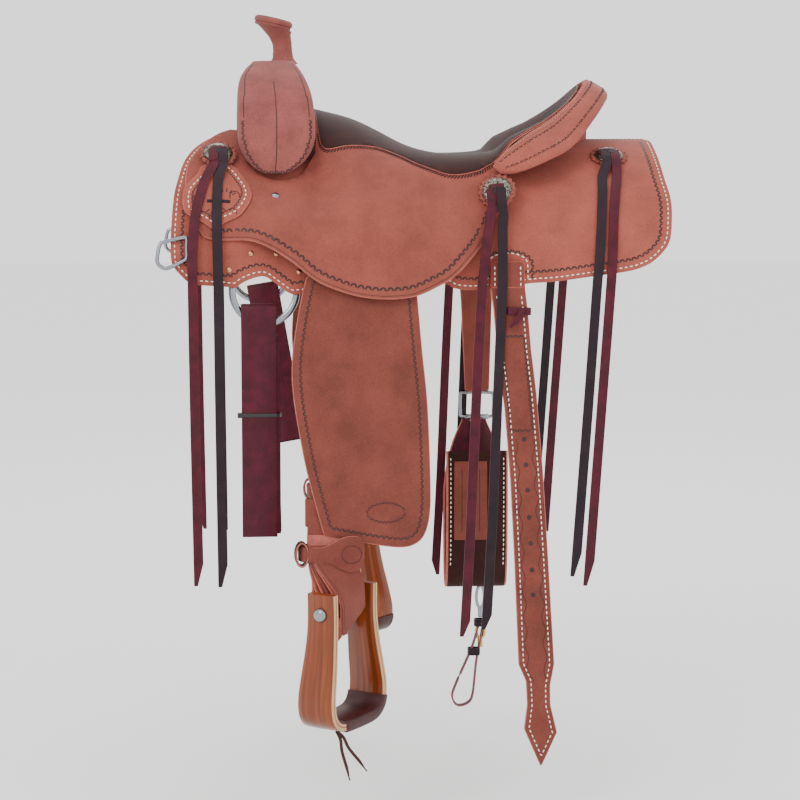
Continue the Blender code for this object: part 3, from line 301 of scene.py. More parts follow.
def mottled(name, colour, tone, dark, light, drift, grain, bump, roughness, specular=0.5,
            sheen=0.0, sheen_roughness=0.5):
    """A colour that drifts between its dark and light shares, over a fine grain."""
    made, tree, shader = start(name, roughness, Specular_IOR_Level=specular, Sheen_Weight=sheen,
                               Sheen_Roughness=sheen_roughness)
    base = toned(colour_of(colour), tone)
    low = toned(colour_of(dark[0]), dark[1]) if isinstance(dark, tuple) else toned(base, dark)
    place = node(tree, "ShaderNodeTexCoord").outputs["Object"]
    broad, small = [node(tree, "ShaderNodeTexNoise", {"Vector": place, "Scale": 1 / size,
                                                      "Detail": detail, "Roughness": rough})
                    for size, detail, rough in ((drift, 4.0, 0.6), (grain, 3.0, 0.65))]
    ramp = node(tree, "ShaderNodeValToRGB", {"Fac": broad.outputs[0]},
                ((0.34, low), (0.66, toned(base, light)), (0.5, base)))
    shade = node(tree, "ShaderNodeMapRange", {"Value": small.outputs[0], "From Min": 0.3,
                                              "From Max": 0.7, "To Min": 0.86, "To Max": 1.12})
    mixed = node(tree, "ShaderNodeVectorMath", {0: ramp.outputs[0], "Scale": shade.outputs[0]},
                 operation="SCALE")
    relief = node(tree, "ShaderNodeBump", {"Height": small.outputs[0], "Strength": bump,
                                           "Distance": 0.0006})
    tree.links.new(mixed.outputs[0], shader.inputs["Base Color"])
    tree.links.new(relief.outputs[0], shader.inputs["Normal"])
    return made


def laminated(name):
    """Dark streaks along the grain, stretched on the piece's own UV map in metres."""
    made, tree, shader = start(name, 0.3, Coat_Weight=0.3, Coat_Roughness=0.08,
                               Specular_IOR_Level=0.3)
    run = node(tree, "ShaderNodeUVMap", uv_map="UVMap").outputs[0]
    place = node(tree, "ShaderNodeMapping", {"Vector": run, "Scale": (3.0, 120.0, 1.0)})
    streaks = node(tree, "ShaderNodeTexNoise", {"Vector": place.outputs[0], "Scale": 1.0,
                                                "Detail": 5.0, "Roughness": 0.6,
                                                "Distortion": 0.6})
    ramp = node(tree, "ShaderNodeValToRGB", {"Fac": streaks.outputs[0]},
                ((0.30, linear("4A1C06")), (0.66, colour_of("wood"))))
    tree.links.new(ramp.outputs[0], shader.inputs["Base Color"])
    return made


def plies(name):
    """Cream plies about 2 mm thick between brown glue lines."""
    made, tree, shader = start(name, 0.25, Coat_Weight=0.5, Coat_Roughness=0.1)
    run = node(tree, "ShaderNodeUVMap", uv_map="UVMap").outputs[0]
    parts = node(tree, "ShaderNodeSeparateXYZ", {0: run})
    lines = node(tree, "ShaderNodeMath", {0: parts.outputs[1], 1: 500.0}, operation="MULTIPLY")
    stripe = node(tree, "ShaderNodeMath", {0: lines.outputs[0], 1: 1.0}, operation="PINGPONG")
    drift = node(tree, "ShaderNodeTexNoise", {"Vector": run, "Scale": 40.0, "Detail": 3.0})
    ramp = node(tree, "ShaderNodeValToRGB", {"Fac": drift.outputs[0]},
                ((0.0, linear("A06A30")), (1.0, linear("CFA668"))))
    relief = node(tree, "ShaderNodeBump", {"Height": stripe.outputs[0], "Strength": 0.2,
                                           "Distance": 0.0004})
    tree.links.new(ramp.outputs[0], shader.inputs["Base Color"])
    tree.links.new(relief.outputs[0], shader.inputs["Normal"])
    return made


def scratched(name, text, roughness, scale, bump):
    """A worked metal: its colour, with fine scratches in its roughness and bump."""
    made, tree, shader = start(name, roughness, 1.0, Base_Color=(*linear(text), 1))
    place = node(tree, "ShaderNodeTexCoord").outputs["Object"]
    marks = node(tree, "ShaderNodeTexNoise", {"Vector": place, "Scale": 1 / scale, "Detail": 3.0})
    rough = node(tree, "ShaderNodeMapRange", {"Value": marks.outputs[0], "To Min": roughness * 0.7,
                                              "To Max": roughness * 1.4})
    relief = node(tree, "ShaderNodeBump", {"Height": marks.outputs[0], "Strength": bump,
                                           "Distance": 0.0003})
    tree.links.new(rough.outputs[0], shader.inputs["Roughness"])
    tree.links.new(relief.outputs[0], shader.inputs["Normal"])
    return made


def engraved(name):
    """Scrolls about 3 mm across, drawn by bending a noise pattern."""
    made, tree, shader = start(name, 0.3, 1.0)
    place = node(tree, "ShaderNodeTexCoord").outputs["Object"]
    scrolls = node(tree, "ShaderNodeTexNoise", {"Vector": place, "Scale": 160.0, "Detail": 2.0,
                                                "Distortion": 2.5})
    ramp = node(tree, "ShaderNodeValToRGB", {"Fac": scrolls.outputs[0]},
                ((0.42, linear("2C2925")), (0.55, linear("8C877A"))))
    relief = node(tree, "ShaderNodeBump", {"Height": scrolls.outputs[0], "Strength": 0.6,
                                           "Distance": 0.0006})
    tree.links.new(ramp.outputs[0], shader.inputs["Base Color"])
    tree.links.new(relief.outputs[0], shader.inputs["Normal"])
    return made


# Each look: how it is made, its material, its slot, then that maker's values. For mottled they
# are the colour and its tone, its dark and light shares, the drift's and the grain's size in
# metres, the bump, the roughness, the specular level, and the sheen's weight and roughness.
LOOKS = {
    # Rough-out cowhide, flesh side up: a dull, velvety nap that catches light at its edges.
    # The real nap is 0.3 mm; drawn at 2.5 mm so that it shows.
    "roughout": (mottled, "roughout_cowhide", "roughout_leather", "roughout", 1.0, 0.86, 1.12,
                 0.055, 0.0025, 0.35, 0.88, 0.25, 0.08),
    # The same hide, darkened as painted shade for the lower pieces: fenders and billets
    "worn_hide": (mottled, "roughout_worn_cowhide", "roughout_leather", "roughout", 0.54, 0.80,
                  1.15, 0.055, 0.0025, 0.35, 0.85, 0.25, 0.05),
    # The same hide on the jockey, a little darkened as painted shade
    "jockey_hide": (mottled, "roughout_jockey_cowhide", "roughout_leather", "roughout", 0.80,
                    0.84, 1.13, 0.060, 0.0025, 0.35, 0.87, 0.25, 0.05),
    # The fork's cover: the same hide, drawn tighter and a shade pinker
    "fork_hide": (mottled, "roughout_fork_cowhide", "roughout_leather", "fork", 1.0, 0.80, 1.15,
                  0.04, 0.0025, 0.3, 0.82, 0.3, 0.08),
    # Cut, burnished leather edge: paler and smoother than the nap
    "cut_edge": (mottled, "burnished_leather_edge", "roughout_leather", "roughout", 1.25, 0.8,
                 1.15, 0.012, 0.002, 0.2, 0.55, 0.4),
    # Stamped and dyed leather: compressed, so darker and a little glossy
    "tooled": (mottled, "tooled_dark_leather", "roughout_leather", "tooling", 1.0, 0.7, 1.5,
               0.008, 0.002, 0.3, 0.5, 0.4),
    # Waxed polyester harness thread: off-white, slightly glossy
    "thread": (mottled, "waxed_white_thread", "roughout_leather", "thread", 1.0, 0.85, 1.0,
               0.004, 0.0008, 0.4, 0.6, 0.4),
    # Smooth dark-brown seat leather: a fine pebble and little shine
    "seat_hide": (mottled, "smooth_dark_seat_leather", "seat_leather", "seat", 1.0, 0.8, 1.25,
                  0.03, 0.0022, 0.3, 0.6, 0.12),
    # Oil-tanned latigo: deep wine red, dense and waxy
    "latigo": (mottled, "oiled_latigo_leather", "latigo_leather", "latigo", 1.0, 0.75, 1.3,
               0.02, 0.003, 0.25, 0.5, 0.22),
    # The flesh side of the string leather: near-black plum with a grey bloom
    "dark_string": (mottled, "dark_string_leather", "latigo_leather", "string", 1.0, 0.75, 1.35,
                    0.03, 0.003, 0.25, 0.5, 0.22),
    # The raw cut edge of latigo leather: paler and pinker than its faces
    "latigo_edge": (mottled, "cut_latigo_edge", "latigo_leather", "8E4A50", 1.0, 0.8, 1.15, 0.01,
                    0.002, 0.2, 0.6, 0.35),
    # The rosettes' pleats: the same hide with dye left dark in the folds
    "pleats": (mottled, "pleated_dyed_cowhide", "roughout_leather", "roughout", 0.8,
               ("tooling", 1.2), 1.2, 0.0045, 0.0015, 0.5, 0.7, 0.3),
    # Chrome-tanned tread cover: red-brown, smooth and a little worn
    "tread": (mottled, "smooth_tread_leather", "seat_leather", "381210", 1.0, 0.7, 1.5, 0.012,
              0.002, 0.3, 0.45, 0.3),
    # Sheepskin: a cream pile in soft tufts
    "wool": (mottled, "sheepskin_pile", "fleece", "wool", 1.0, 0.8, 1.08, 0.02, 0.003, 1.0, 0.95,
             0.5, 0.4, 0.7),
    # The tree: wood under varnished rawhide, cream and slightly glossy
    "tree_wood": (mottled, "rawhide_covered_tree", "tree_wood", "C9AE82", 1.0, 0.8, 1.1, 0.03,
                  0.004, 0.3, 0.5),
    # Moulded nylon: plain black with a faint sheen
    "nylon": (mottled, "moulded_black_nylon", "cable_tie", "17171A", 1.0, 0.8, 1.3, 0.01, 0.001,
              0.1, 0.4),
    # Laminated ash under brown varnish: streaked and glossy, with its stacked plies at the side
    "bow_wood": (laminated, "varnished_laminated_wood", "stirrup_wood"),
    "bow_plies": (plies, "varnished_cream_ply", "stirrup_wood"),
    # Polished stainless steel, lightly scratched; hammered copper; cast brass, tumbled bright
    "steel": (scratched, "polished_stainless_steel", "steel", "8E9298", 0.18, 0.004, 0.08),
    "copper": (scratched, "hammered_copper", "steel", "C98F68", 0.28, 0.002, 0.2),
    "brass": (scratched, "tumbled_brass", "steel", "C9A45A", 0.25, 0.002, 0.15),
    # Antiqued nickel silver, engraved with fine scrolls
    "silver": (engraved, "engraved_antique_silver", "concho_silver"),
}


def material(look):
    """A look's material, made when it is first asked for."""
    maker, name, _, *values = LOOKS[look]
    return bpy.data.materials.get(name) or maker(name, *values)


def turned_at(place, angle, axis):
    """A turn by an angle about an axis through a place."""
    return (Matrix.Translation(place) @ Matrix.Rotation(angle, 4, Vector(axis))
            @ Matrix.Translation(-Vector(place)))


# Off-side parts hang a little further back, so that they show past the near ones
SWUNG_BACK = turned_at((FENDER_AXIS_X, 0, FENDER_AXIS_Z), radians(-4), (0, 1, 0))
REST = {"off_fender": SWUNG_BACK, "off_stirrup": SWUNG_BACK,
        "off_billet": turned_at((RING_X, RING_Y, RING_Z), radians(-10), RING_AXIS)}


# Building helpers
def finish(name, bm, look, body=BODY, replaces=(), extra=(), weld=1e-6):
    """Turn a bmesh into a named, smooth-shaded piece that rides on a body."""
    bmesh.ops.transform(bm, matrix=REST.get(body, Matrix()), verts=bm.verts)
    bmesh.ops.remove_doubles(bm, verts=bm.verts, dist=weld)
    bmesh.ops.recalc_face_normals(bm, faces=bm.faces)
    if not extra and any(face.material_index for face in bm.faces):
        extra = ("cut_edge",)
    mesh = bpy.data.meshes.new(name)
    bm.to_mesh(mesh)
    bm.free()
    for own in (look, *extra):
        mesh.materials.append(material(own))
    mesh.shade_smooth()
    mesh.set_sharp_from_angle(angle=radians(50))
    made = bpy.data.objects.new(name, mesh)
    bpy.context.collection.objects.link(made)
    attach(made, body)
    if replaces:
        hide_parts(*replaces)
    return made


def posed(place, run, side, up):
    """A matrix that puts X, Y and Z along three ways, at a place."""
    spot = Matrix((run, side, up)).transposed().to_4x4()
    spot.translation = place
    return spot


def run_at(points, k, closed=False):
    """The way that a line of points runs at one of them."""
    n = len(points)
    ahead = points[(k + 1) % n] if closed else points[min(k + 1, n - 1)]
    behind = points[k - 1] if closed or k else points[0]
    return (ahead - behind).normalized()


def ellipse(x, y, wide, high, steps):
    """Points round an ellipse, with this many steps to a half turn."""
    return [(x + wide * cos(k * pi / steps), y + high * sin(k * pi / steps))
            for k in range(2 * steps)]


def loft(rings, closed=False, bm=None):
    """A bmesh through rings of equal count, its ends closed."""
    bm = bm or bmesh.new()
    rows = [[bm.verts.new(p) for p in ring] for ring in rings]
    n = len(rows[0])
    for k in range(len(rows) if closed else len(rows) - 1):
        a, b = rows[k], rows[(k + 1) % len(rows)]
        for j in range(n):
            bm.faces.new((a[j], a[(j + 1) % n], b[(j + 1) % n], b[j]))
    if not closed:
        bm.faces.new(rows[0])
        bm.faces.new(rows[-1])
    return bm


def turned(profile, steps, matrix, bm=None):
    """A bmesh turned from (radius, height) points about Z, then placed by the matrix."""
    bm = bm or bmesh.new()
    line = [bm.verts.new((r, 0, h)) for r, h in profile]
    edges = [bm.edges.new(pair) for pair in zip(line, line[1:])]
    bmesh.ops.spin(bm, geom=line + edges, cent=(0, 0, 0), axis=(0, 0, 1), angle=2 * pi,
                   steps=steps, use_merge=True)
    bmesh.ops.remove_doubles(bm, verts=bm.verts, dist=1e-6)
    bmesh.ops.transform(bm, matrix=matrix, verts=bm.verts)
    return bm


def aimed(place, axis):
    """A matrix that puts Z along an axis at a place."""
    turn = Vector((0, 0, 1)).rotation_difference(Vector(axis)).to_matrix().to_4x4()
    return Matrix.Translation(place) @ turn


def inset(outline, amount):
    """A closed outline moved in along its normals, without the loops at tight corners."""
    n = len(outline)
    area = sum(outline[k - 1][0] * outline[k][1] - outline[k][0] * outline[k - 1][1]
               for k in range(n))
    turn = 1 if area > 0 else -1
    out = []
    for k in range(n):
        a, b = outline[k - 1], outline[(k + 1) % n]
        length = hypot(b[0] - a[0], b[1] - a[1]) or 1e-9
        out.append((outline[k][0] - turn * amount * (b[1] - a[1]) / length, outline[k][1]
                    + turn * amount * (b[0] - a[0]) / length))
    return out


def clear_of(points, outline, amount):
    """Only the points that lie at least this far from the outline."""
    return [p for p in points if min(hypot(p[0] - q[0], p[1] - q[1])
                                     for q in outline) > amount * 0.96]


def spaced(points, step, closed):
    """Points at even steps along a polyline."""
    points = [Vector(p) for p in points]
    if closed:
        points.append(points[0])
    out = []
    carry = 0.0
    for a, b in zip(points, points[1:]):
        length = (b - a).length
        while carry < length:
            out.append(tuple(a.lerp(b, carry / length)))
            carry += step
        carry -= length
    return out


# Steps along an outline before it is drawn in
OUTLINE_STEP = 0.004
# A panel's rounded edge: height through it, and share of the rounding
EDGE_RING = ((0.25, 0.87), (0.5, 1.0), (0.75, 0.87))


def plate(outline, place, cell=0.010, edge=0.0014, bm=None):
    """A bmesh of a panel with a rounded edge; place(u, v, t) puts it in space, t through it."""
    bm = bm or bmesh.new()
    outline = inset(spaced(outline, OUTLINE_STEP, True), edge)
    bm.faces.new([bm.verts.new((u, v, 0)) for u, v in outline])
    for axis in (0, 1):
        low, high = min(p[axis] for p in outline), max(p[axis] for p in outline)
        for k in range(ceil(low / cell), floor(high / cell) + 1):
            point, normal = [0, 0, 0], [0, 0, 0]
            point[axis], normal[axis] = k * cell, 1
            bmesh.ops.bisect_plane(bm, geom=bm.verts[:] + bm.edges[:] + bm.faces[:], dist=4e-4,
                                   plane_co=point, plane_no=normal)
    bmesh.ops.remove_doubles(bm, verts=bm.verts, dist=1e-4)
    bmesh.ops.triangulate(bm, faces=[f for f in bm.faces if len(f.verts) > 4])
    grown = bmesh.ops.extrude_face_region(bm, geom=bm.faces[:])
    upper = [v for v in grown["geom"] if isinstance(v, bmesh.types.BMVert)]
    bmesh.ops.translate(bm, verts=upper, vec=(0, 0, 1))
    walls = [e for e in bm.edges if abs(e.verts[0].co.z - e.verts[1].co.z) > 0.5]
    bmesh.ops.subdivide_edges(bm, edges=walls, cuts=3, use_grid_fill=True)
    bm.normal_update()
    moves = []
    for v in bm.verts:
        for level, bulge in EDGE_RING:
            if abs(v.co.z - level) < 0.01:
                out = Vector((v.normal.x, v.normal.y, 0))
                if out.length > 1e-6:
                    moves.append((v, out.normalized() * edge * bulge))
    for v, move in moves:
        v.co += move
    for face in bm.faces:
        heights = [v.co.z for v in face.verts]
        face.material_index = int(max(heights) - min(heights) > 0.1)
    for v in bm.verts:
        v.co = place(*v.co)
    return bm


def spots(path, place, pitch, closed=False, lift=0.0):
    """Matrices at even steps along a path on a panel: X along it, Z out of it."""
    path = spaced(path, 0.002, closed)
    points = [place(u, v, 1.0) for u, v in path]
    out = []
    carry = pitch / 2
    for k in range(len(points) - 1):
        a, b = points[k], points[k + 1]
        length = (b - a).length
        if length > 0.02:
            carry = pitch / 2
            continue
        while carry < length:
            share = carry / length
            u = path[k][0] + (path[k + 1][0] - path[k][0]) * share
            v = path[k][1] + (path[k + 1][1] - path[k][1]) * share
            h = 0.002
            across = place(u + h, v, 1.0) - place(u - h, v, 1.0)
            down = place(u, v + h, 1.0) - place(u, v - h, 1.0)
            up = across.cross(down).normalized()
            if (place(u, v, 1.0) - place(u, v, 0.0)).dot(up) < 0:
                up = -up
            run = (b - a).normalized()
            run = (run - up * run.dot(up)).normalized()
            out.append(posed(a.lerp(b, share) + up * lift, run, up.cross(run), up))
            carry += pitch
        carry -= length
    return out


def scatter(name, template, places, look, body=BODY):
    """One object of many copies of a small bmesh."""
    small = bpy.data.meshes.new(name + "_one")
    template.to_mesh(small)
    template.free()
    bm = bmesh.new()
    for place in places:
        first = len(bm.verts)
        bm.from_mesh(small)
        bm.verts.ensure_lookup_table()
        bmesh.ops.transform(bm, matrix=place, verts=bm.verts[first:])
    bpy.data.meshes.remove(small)
    return finish(name, bm, look, body, weld=1e-8)


def stitch_form(lean=0, grow=(1, 1, 1)):
    """One stitch, a short rounded length of thread; leaning and grown, one turn of a lacing."""
    sizes = bpy.context.scene.saddle_sizes
    bm = bmesh.new()
    bmesh.ops.create_uvsphere(bm, u_segments=6, v_segments=4, radius=1)
    bmesh.ops.transform(bm, matrix=Matrix.Rotation(pi / 2, 4, "Y"), verts=bm.verts)
    size = (sizes.stitch_length / 2, sizes.stitch_width / 2, sizes.stitch_width * 0.36)
    bmesh.ops.scale(bm, vec=size, verts=bm.verts)
    turn = Matrix.Rotation(radians(lean), 4, "Z") @ Matrix.Diagonal((*grow, 1))
    bmesh.ops.transform(bm, matrix=turn, verts=bm.verts)
    return bm


# A stamped half-moon: degrees of its arc, steps round it and height; then its radius as a share
# of the pitch, and its width as a share of the radius
ARC_SWEEP = 200
ARC_STEPS = 7
ARC_HEIGHT = 0.0005
ARC_RADIUS = 0.47
ARC_WIDTH = 0.55
CREASE = ((-0.5, -0.4), (-0.3, 1), (0.3, 1), (0.5, -0.4))


def arc_form(radius, width):
    """One stamped half-moon: an arc that bows towards +Y."""
    bm = bmesh.new()
    begin = radians((180 - ARC_SWEEP) / 2)
    pair = [bm.verts.new((r * cos(begin), r * sin(begin), -0.0002))
            for r in (radius - width, radius)]
    edge = bm.edges.new(pair)
    bmesh.ops.spin(bm, geom=pair + [edge], cent=(0, 0, 0), axis=(0, 0, 1),
                   angle=radians(ARC_SWEEP), steps=ARC_STEPS)
    grown = bmesh.ops.extrude_face_region(bm, geom=bm.faces[:])
    top = [v for v in grown["geom"] if isinstance(v, bmesh.types.BMVert)]
    bmesh.ops.translate(bm, verts=top, vec=(0, 0, ARC_HEIGHT))
    bmesh.ops.recalc_face_normals(bm, faces=bm.faces)
    return bm


def ribbon(name, path, place, width, body=BODY, closed=False, rise=0.00025, look="tooled"):
    """A thin line of creased leather along a path on a panel."""
    rings = [[m @ Vector((0, w * width, h * rise)) for w, h in CREASE]
             for m in spots(path, place, 0.003, closed)]
    return finish(name, loft(rings, closed), look, body)


def sew(name, path, place, closed=False, body=BODY):
    """A row of stitches on a panel."""
    sizes = bpy.context.scene.saddle_sizes
    places = spots(path, place, sizes.stitch_pitch, closed, sizes.stitch_width * 0.12)
    return scatter(name, stitch_form(), places, "thread", body)


def stamp(name, path, place, closed=False, body=BODY, size=1.0, flip=False):
    """A border of stamped half-moons on a panel."""
    pitch = bpy.context.scene.saddle_sizes.stamp_pitch
    radius = pitch * ARC_RADIUS * size
    places = spots(path, place, pitch * size, closed)
    if flip:
        places = [m @ Matrix.Rotation(pi, 4, "Z") for m in places]
    return scatter(name, arc_form(radius, radius * ARC_WIDTH), places, "tooled", body)


def hang(route, body=BODY):
    """Work out a hanging strap's path and length; nothing is kept."""
    path = [tuple(REST.get(body, Matrix()) @ p) for p in route]
    length = sum((b - a).length for a, b in zip(route, route[1:]))
    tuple(path[0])


def skin(low, high, side, top=None):
    """Places a panel on the back: side -1 or 1, from d low to d high."""
    def place(u, v, t):
        a = low(u, v) if callable(low) else low
        b = high(u, v) if callable(high) else high
        return back(u, side * v, a + (b - a) * t, top)
    return place


def on_seat(low, high, side):
    """Places a panel on the seat's leather, from low to high above its outer face."""
    return skin(lambda x, s: seat(x, s) + low, lambda x, s: seat(x, s) + high, side)


# Sizes and colours
def length(label, meaning, size):
    return FloatProperty(name=label, description=meaning, default=size, unit="LENGTH")


class SaddleSizes(bpy.types.PropertyGroup):
    """Sizes of the sewing, stamping and view."""
    stitch_pitch: length("Stitch pitch", "From stitch to stitch", 0.0078)
    stitch_length: length("Stitch length", "One stitch's length", 0.0048)
    stitch_width: length("Stitch width", "The thread's width", 0.0018)
    stamp_pitch: length("Stamp pitch", "From half-moon to half-moon", 0.0088)
    stitch_inset: length("Stitch inset", "From the edge to the stitches", 0.0075)
    stamp_inset: length("Stamp inset", "From the edge to the stamping", 0.0160)
    panel_cell: length("Panel cell", "Size of a panel's faces", 0.010)
    lens: FloatProperty(name="Lens", description="The camera's focal length in mm", default=100.87)
    ring_steps: IntProperty(name="Ring steps", description="Sides of a turned piece", default=64)


def paint(label, text):
    return FloatVectorProperty(name=label, description=label + " colour", subtype="COLOR", size=3,
                               min=0, max=1, default=linear(text))


class SaddleColours(bpy.types.PropertyGroup):
    """Colours of the leathers, thread, wood and wool."""
    roughout: paint("Rough-out", "944B3E")
    fork: paint("Fork cover", "84453F")
    tooling: paint("Tooling", "2E1210")
    thread: paint("Thread", "F0E8DC")
    seat: paint("Seat", "2E1411")
    latigo: paint("Latigo", "440A1C")
    string: paint("String", "1F1018")
    wood: paint("Stirrup wood", "8A3C0A")
    wool: paint("Sheepskin", "DCCFB6")


class SADDLE_OT_stage(bpy.types.Operator):
    """Camera, lights, pale floor and world"""
    bl_idname = "saddle.stage"
    bl_label = "Stage"

    def execute(self, context):
        sizes = context.scene.saddle_sizes
        lens = bpy.data.cameras.new("camera")
        lens.lens = sizes.lens
        lens.clip_end = 50
        camera = bpy.data.objects.new("camera", lens)
        camera.location = (-0.2433, -3.398, 0.070)
        camera.rotation_euler = (radians(90 - 6.774), 0, -radians(4.373))
        bpy.context.collection.objects.link(camera)
        context.scene.camera = camera
        world = bpy.data.worlds.new("studio")
        context.scene.world = world
        world.use_nodes = True
        world.node_tree.nodes["Background"].inputs[0].default_value = (1, 1, 1, 1)
        world.node_tree.nodes["Background"].inputs[1].default_value = 1.6
        for name, place, size, power in (("key", (-2.2, -3.0, 2.6), 1.6, 60),
                                         ("fill", (2.6, -2.6, 1.2), 2.2, 15),
                                         ("back", (0.5, 3.0, 2.4), 2.4, 30),
                                         ("top", (0.0, 0.0, 3.2), 2.0, 10)):
            light = bpy.data.lights.new(name, "AREA")
            light.size = size
            light.energy = power
            lamp = bpy.data.objects.new(name, light)
            lamp.location = place
            lamp.rotation_euler = (-Vector(place)).to_track_quat("-Z", "Y").to_euler()
            bpy.context.collection.objects.link(lamp)
        bm = bmesh.new()
        bmesh.ops.create_grid(bm, x_segments=8, y_segments=8, size=14)
        bmesh.ops.translate(bm, verts=bm.verts, vec=(0, 0, CAD_BOX[0][2] - 0.05))
        mesh = bpy.data.meshes.new("floor")
        bm.to_mesh(mesh)
        bm.free()
        pale, _, shader = start("pale_floor", 0.9)
        shader.inputs["Base Color"].default_value = (0.93, 0.93, 0.93, 1)
        mesh.materials.append(pale)
        floor_piece = bpy.data.objects.new("floor", mesh)
        bpy.context.collection.objects.link(floor_piece)
        return {"FINISHED"}


def skirt_outline(steps):
    """The skirt's outline, and how many of its points come before the top edge."""
    visible = (SKIRT_FRONT[:1] + spline(SKIRT_FRONT[1:], steps) + spline(RIGGING_ARCH, steps)
               + spline(SKIRT_REAR, steps))
    return visible + SKIRT_TOP, len(visible)


# Copper rivets round the rigging and the flank slot, in (x, s)
RIVETS = mm((-211, 301), (-175, 293), (-242, 329), (-143, 312))
FLANK_SLOT = (0.1545, 0.2985)
RIVET_HEAD = mm((0, 2.0), (2.2, 1.7), (3.6, 0.9), (4.2, 0), (4.0, -1), (0, -1))
# The laced upper edge behind the cantle, in (x, s)
LACED_TOP = mm((292, 13), (384, 13))


class SADDLE_OT_skirts(bpy.types.Operator):
    """Skirts with their stitching, stamped borders and rivets"""
    bl_idname = "saddle.skirts"
    bl_label = "Skirts"

    def execute(self, context):
        sizes = context.scene.saddle_sizes
        outline, count = skirt_outline(6)
        dense = spaced(outline, OUTLINE_STEP, True)
        shown = len(spaced(outline[:count], OUTLINE_STEP, False))
        for side, word in SIDES:
            place = skin(-SKIRT_THICK, 0.0, side)
            finish("skirt_" + word + "_leather", plate(outline, place, sizes.panel_cell, 0.0018),
                   "roughout", replaces=("skirt_" + word,))
            for label, amount, make in (("stitching", sizes.stitch_inset, sew),
                                        ("border", sizes.stamp_inset, stamp)):
                line = clear_of(inset(dense, amount)[1:shown], dense, amount)
                make("skirt_%s_%s" % (word, label), line, place)
            rivets = [spots([(x - 0.002, s), (x + 0.002, s)], place, 0.003)[0] for x, s in RIVETS]
            scatter("rigging_rivets_" + word, turned(RIVET_HEAD, 20, Matrix()), rivets, "copper")
            self.flank_patch(word, place)
            scatter("skirt_%s_top_lacing" % word, stitch_form(50, (1.8, 1.4, 1.4)),
                    spots(LACED_TOP, place, 0.0062), "dark_string")
        return {"FINISHED"}

    def flank_patch(self, word, place):
        """The stamped and stitched arch round the flank billet's slot."""
        x, s = FLANK_SLOT
        for label, radius, make in (("stitching", 0.024, sew), ("border", 0.031, stamp)):
            arch = [(x + radius * cos(k * pi / 24) * 1.2, s - radius * sin(k * pi / 24) * 0.7)
                    for k in range(25)]
            arch = [(x + radius * 1.2, s + 0.022)] + arch + [(x - radius * 1.2, s + 0.022)]
            make("flank_arch_%s_%s" % (word, label), arch, place)


def fluffed(bm, amount, scale):
    """Push vertices along their normals by noise, so that a flat lining looks like pile."""
    bm.normal_update()
    for v in bm.verts:
        lump = noise.noise(v.co * scale) + 0.5 * noise.noise(v.co * scale * 2.3)
        v.co += v.normal * amount * lump
    return bm


class SADDLE_OT_fleeces(bpy.types.Operator):
    """Sheepskin linings under the skirts"""
    bl_idname = "saddle.fleeces"
    bl_label = "Fleeces"

    def execute(self, context):
        for side, word in SIDES:
            place = skin(lambda x, s: lining_top(x, s)
                         - FLEECE_THICK, lambda x, s: lining_top(x, s) - 0.0008, side)
            bm = fluffed(plate(FLEECE, place, 0.007, 0.004), 0.0014, 110.0)
            finish("fleece_" + word + "_pile", bm, "wool", replaces=("fleece_" + word,))
        for name in ("tree_bar_near", "tree_bar_off", "ground_seat", "tree_cantle", "tree_fork"):
            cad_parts[name].data.materials.clear()
            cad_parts[name].data.materials.append(material("tree_wood"))
        return {"FINISHED"}


def both_sides(half):
    """A closed outline from the half that runs from the centre line back to it."""
    near = [(x, -s) for x, s in half]
    return near + [(x, s) for x, s in reversed(half) if abs(s) > 1e-6]


class SADDLE_OT_seat(bpy.types.Operator):
    """Seat jockey, dark inlay, stamping and lacing"""
    bl_idname = "saddle.seat"
    bl_label = "Seat"

    def execute(self, context):
        sizes = context.scene.saddle_sizes
        edge = spline(JOCKEY_EDGE, 6)
        half = NOTCH + spline(PRONG, 5) + edge[1:] + RIM_INSET
        bm = plate(both_sides(half), on_seat(-JOCKEY_THICK, 0.0, 1), sizes.panel_cell, 0.0015)
        finish("jockey_leather", bm, "jockey_hide", replaces=("seat_jockey",))
        shown = spaced(edge, OUTLINE_STEP, False)
        loop = shown + [(x, -0.5) for x, s in reversed(shown)]
        border, crease = [inset(loop, amount)[2:len(shown) - 2] for amount in (0.0125, 0.0045)]
        for side, word in SIDES:
            place = on_seat(-JOCKEY_THICK, 0.0, side)
            stamp("jockey_border_" + word, border, place, size=1.2)
            ribbon("jockey_crease_" + word, crease, place, 0.0009)
        half = mm((-113, 0)) + spline(INLAY_EDGE[:12], 5) + spline(INLAY_EDGE[12:], 3)
        bm = plate(both_sides(half), on_seat(GAP, 0.0018, 1), sizes.panel_cell, 0.0008)
        finish("seat_inlay_leather", bm, "seat_hide", replaces=("seat_inlay",))
        rim = [(x, s + 0.0030) for x, s in spline(INLAY_EDGE[1:14], 5)]
        for side, word in SIDES:
            scatter("inlay_lacing_" + word, stitch_form(48, (1.7, 1.25, 1.3)),
                    spots(rim, on_seat(0.0, 0.0004, side), 0.0048), "dark_string")
        return {"FINISHED"}


ROLL_THICK = 0.011
ROLL_SHAPE = ((0, 0.0), (0.04, 0.26), (0.10, 0.42), (0.22, 0.56), (0.35, 0.62), (0.5, 0.63),
              (0.65, 0.60), (0.80, 0.50), (0.92, 0.36), (0.98, 0.14), (1, -0.1), (0.97, -0.30),
              (0.90, -0.42), (0.5, -0.38), (0.12, -0.38), (0.02, -0.2))


def roll_pairs(steps):
    """Inner and outer points of the cantle's roll, from the near end to the off end."""
    inner, outer = spline(RIM, steps), spline(ROLL_EDGE, steps)
    pairs = [((a[0], -a[1], a[2]), (b[0], -b[1], b[2])) for a, b in zip(inner, outer)]
    pairs += list(reversed(list(zip(inner, outer))))[1:]
    return [(Vector(a), Vector(b)) for a, b in pairs]


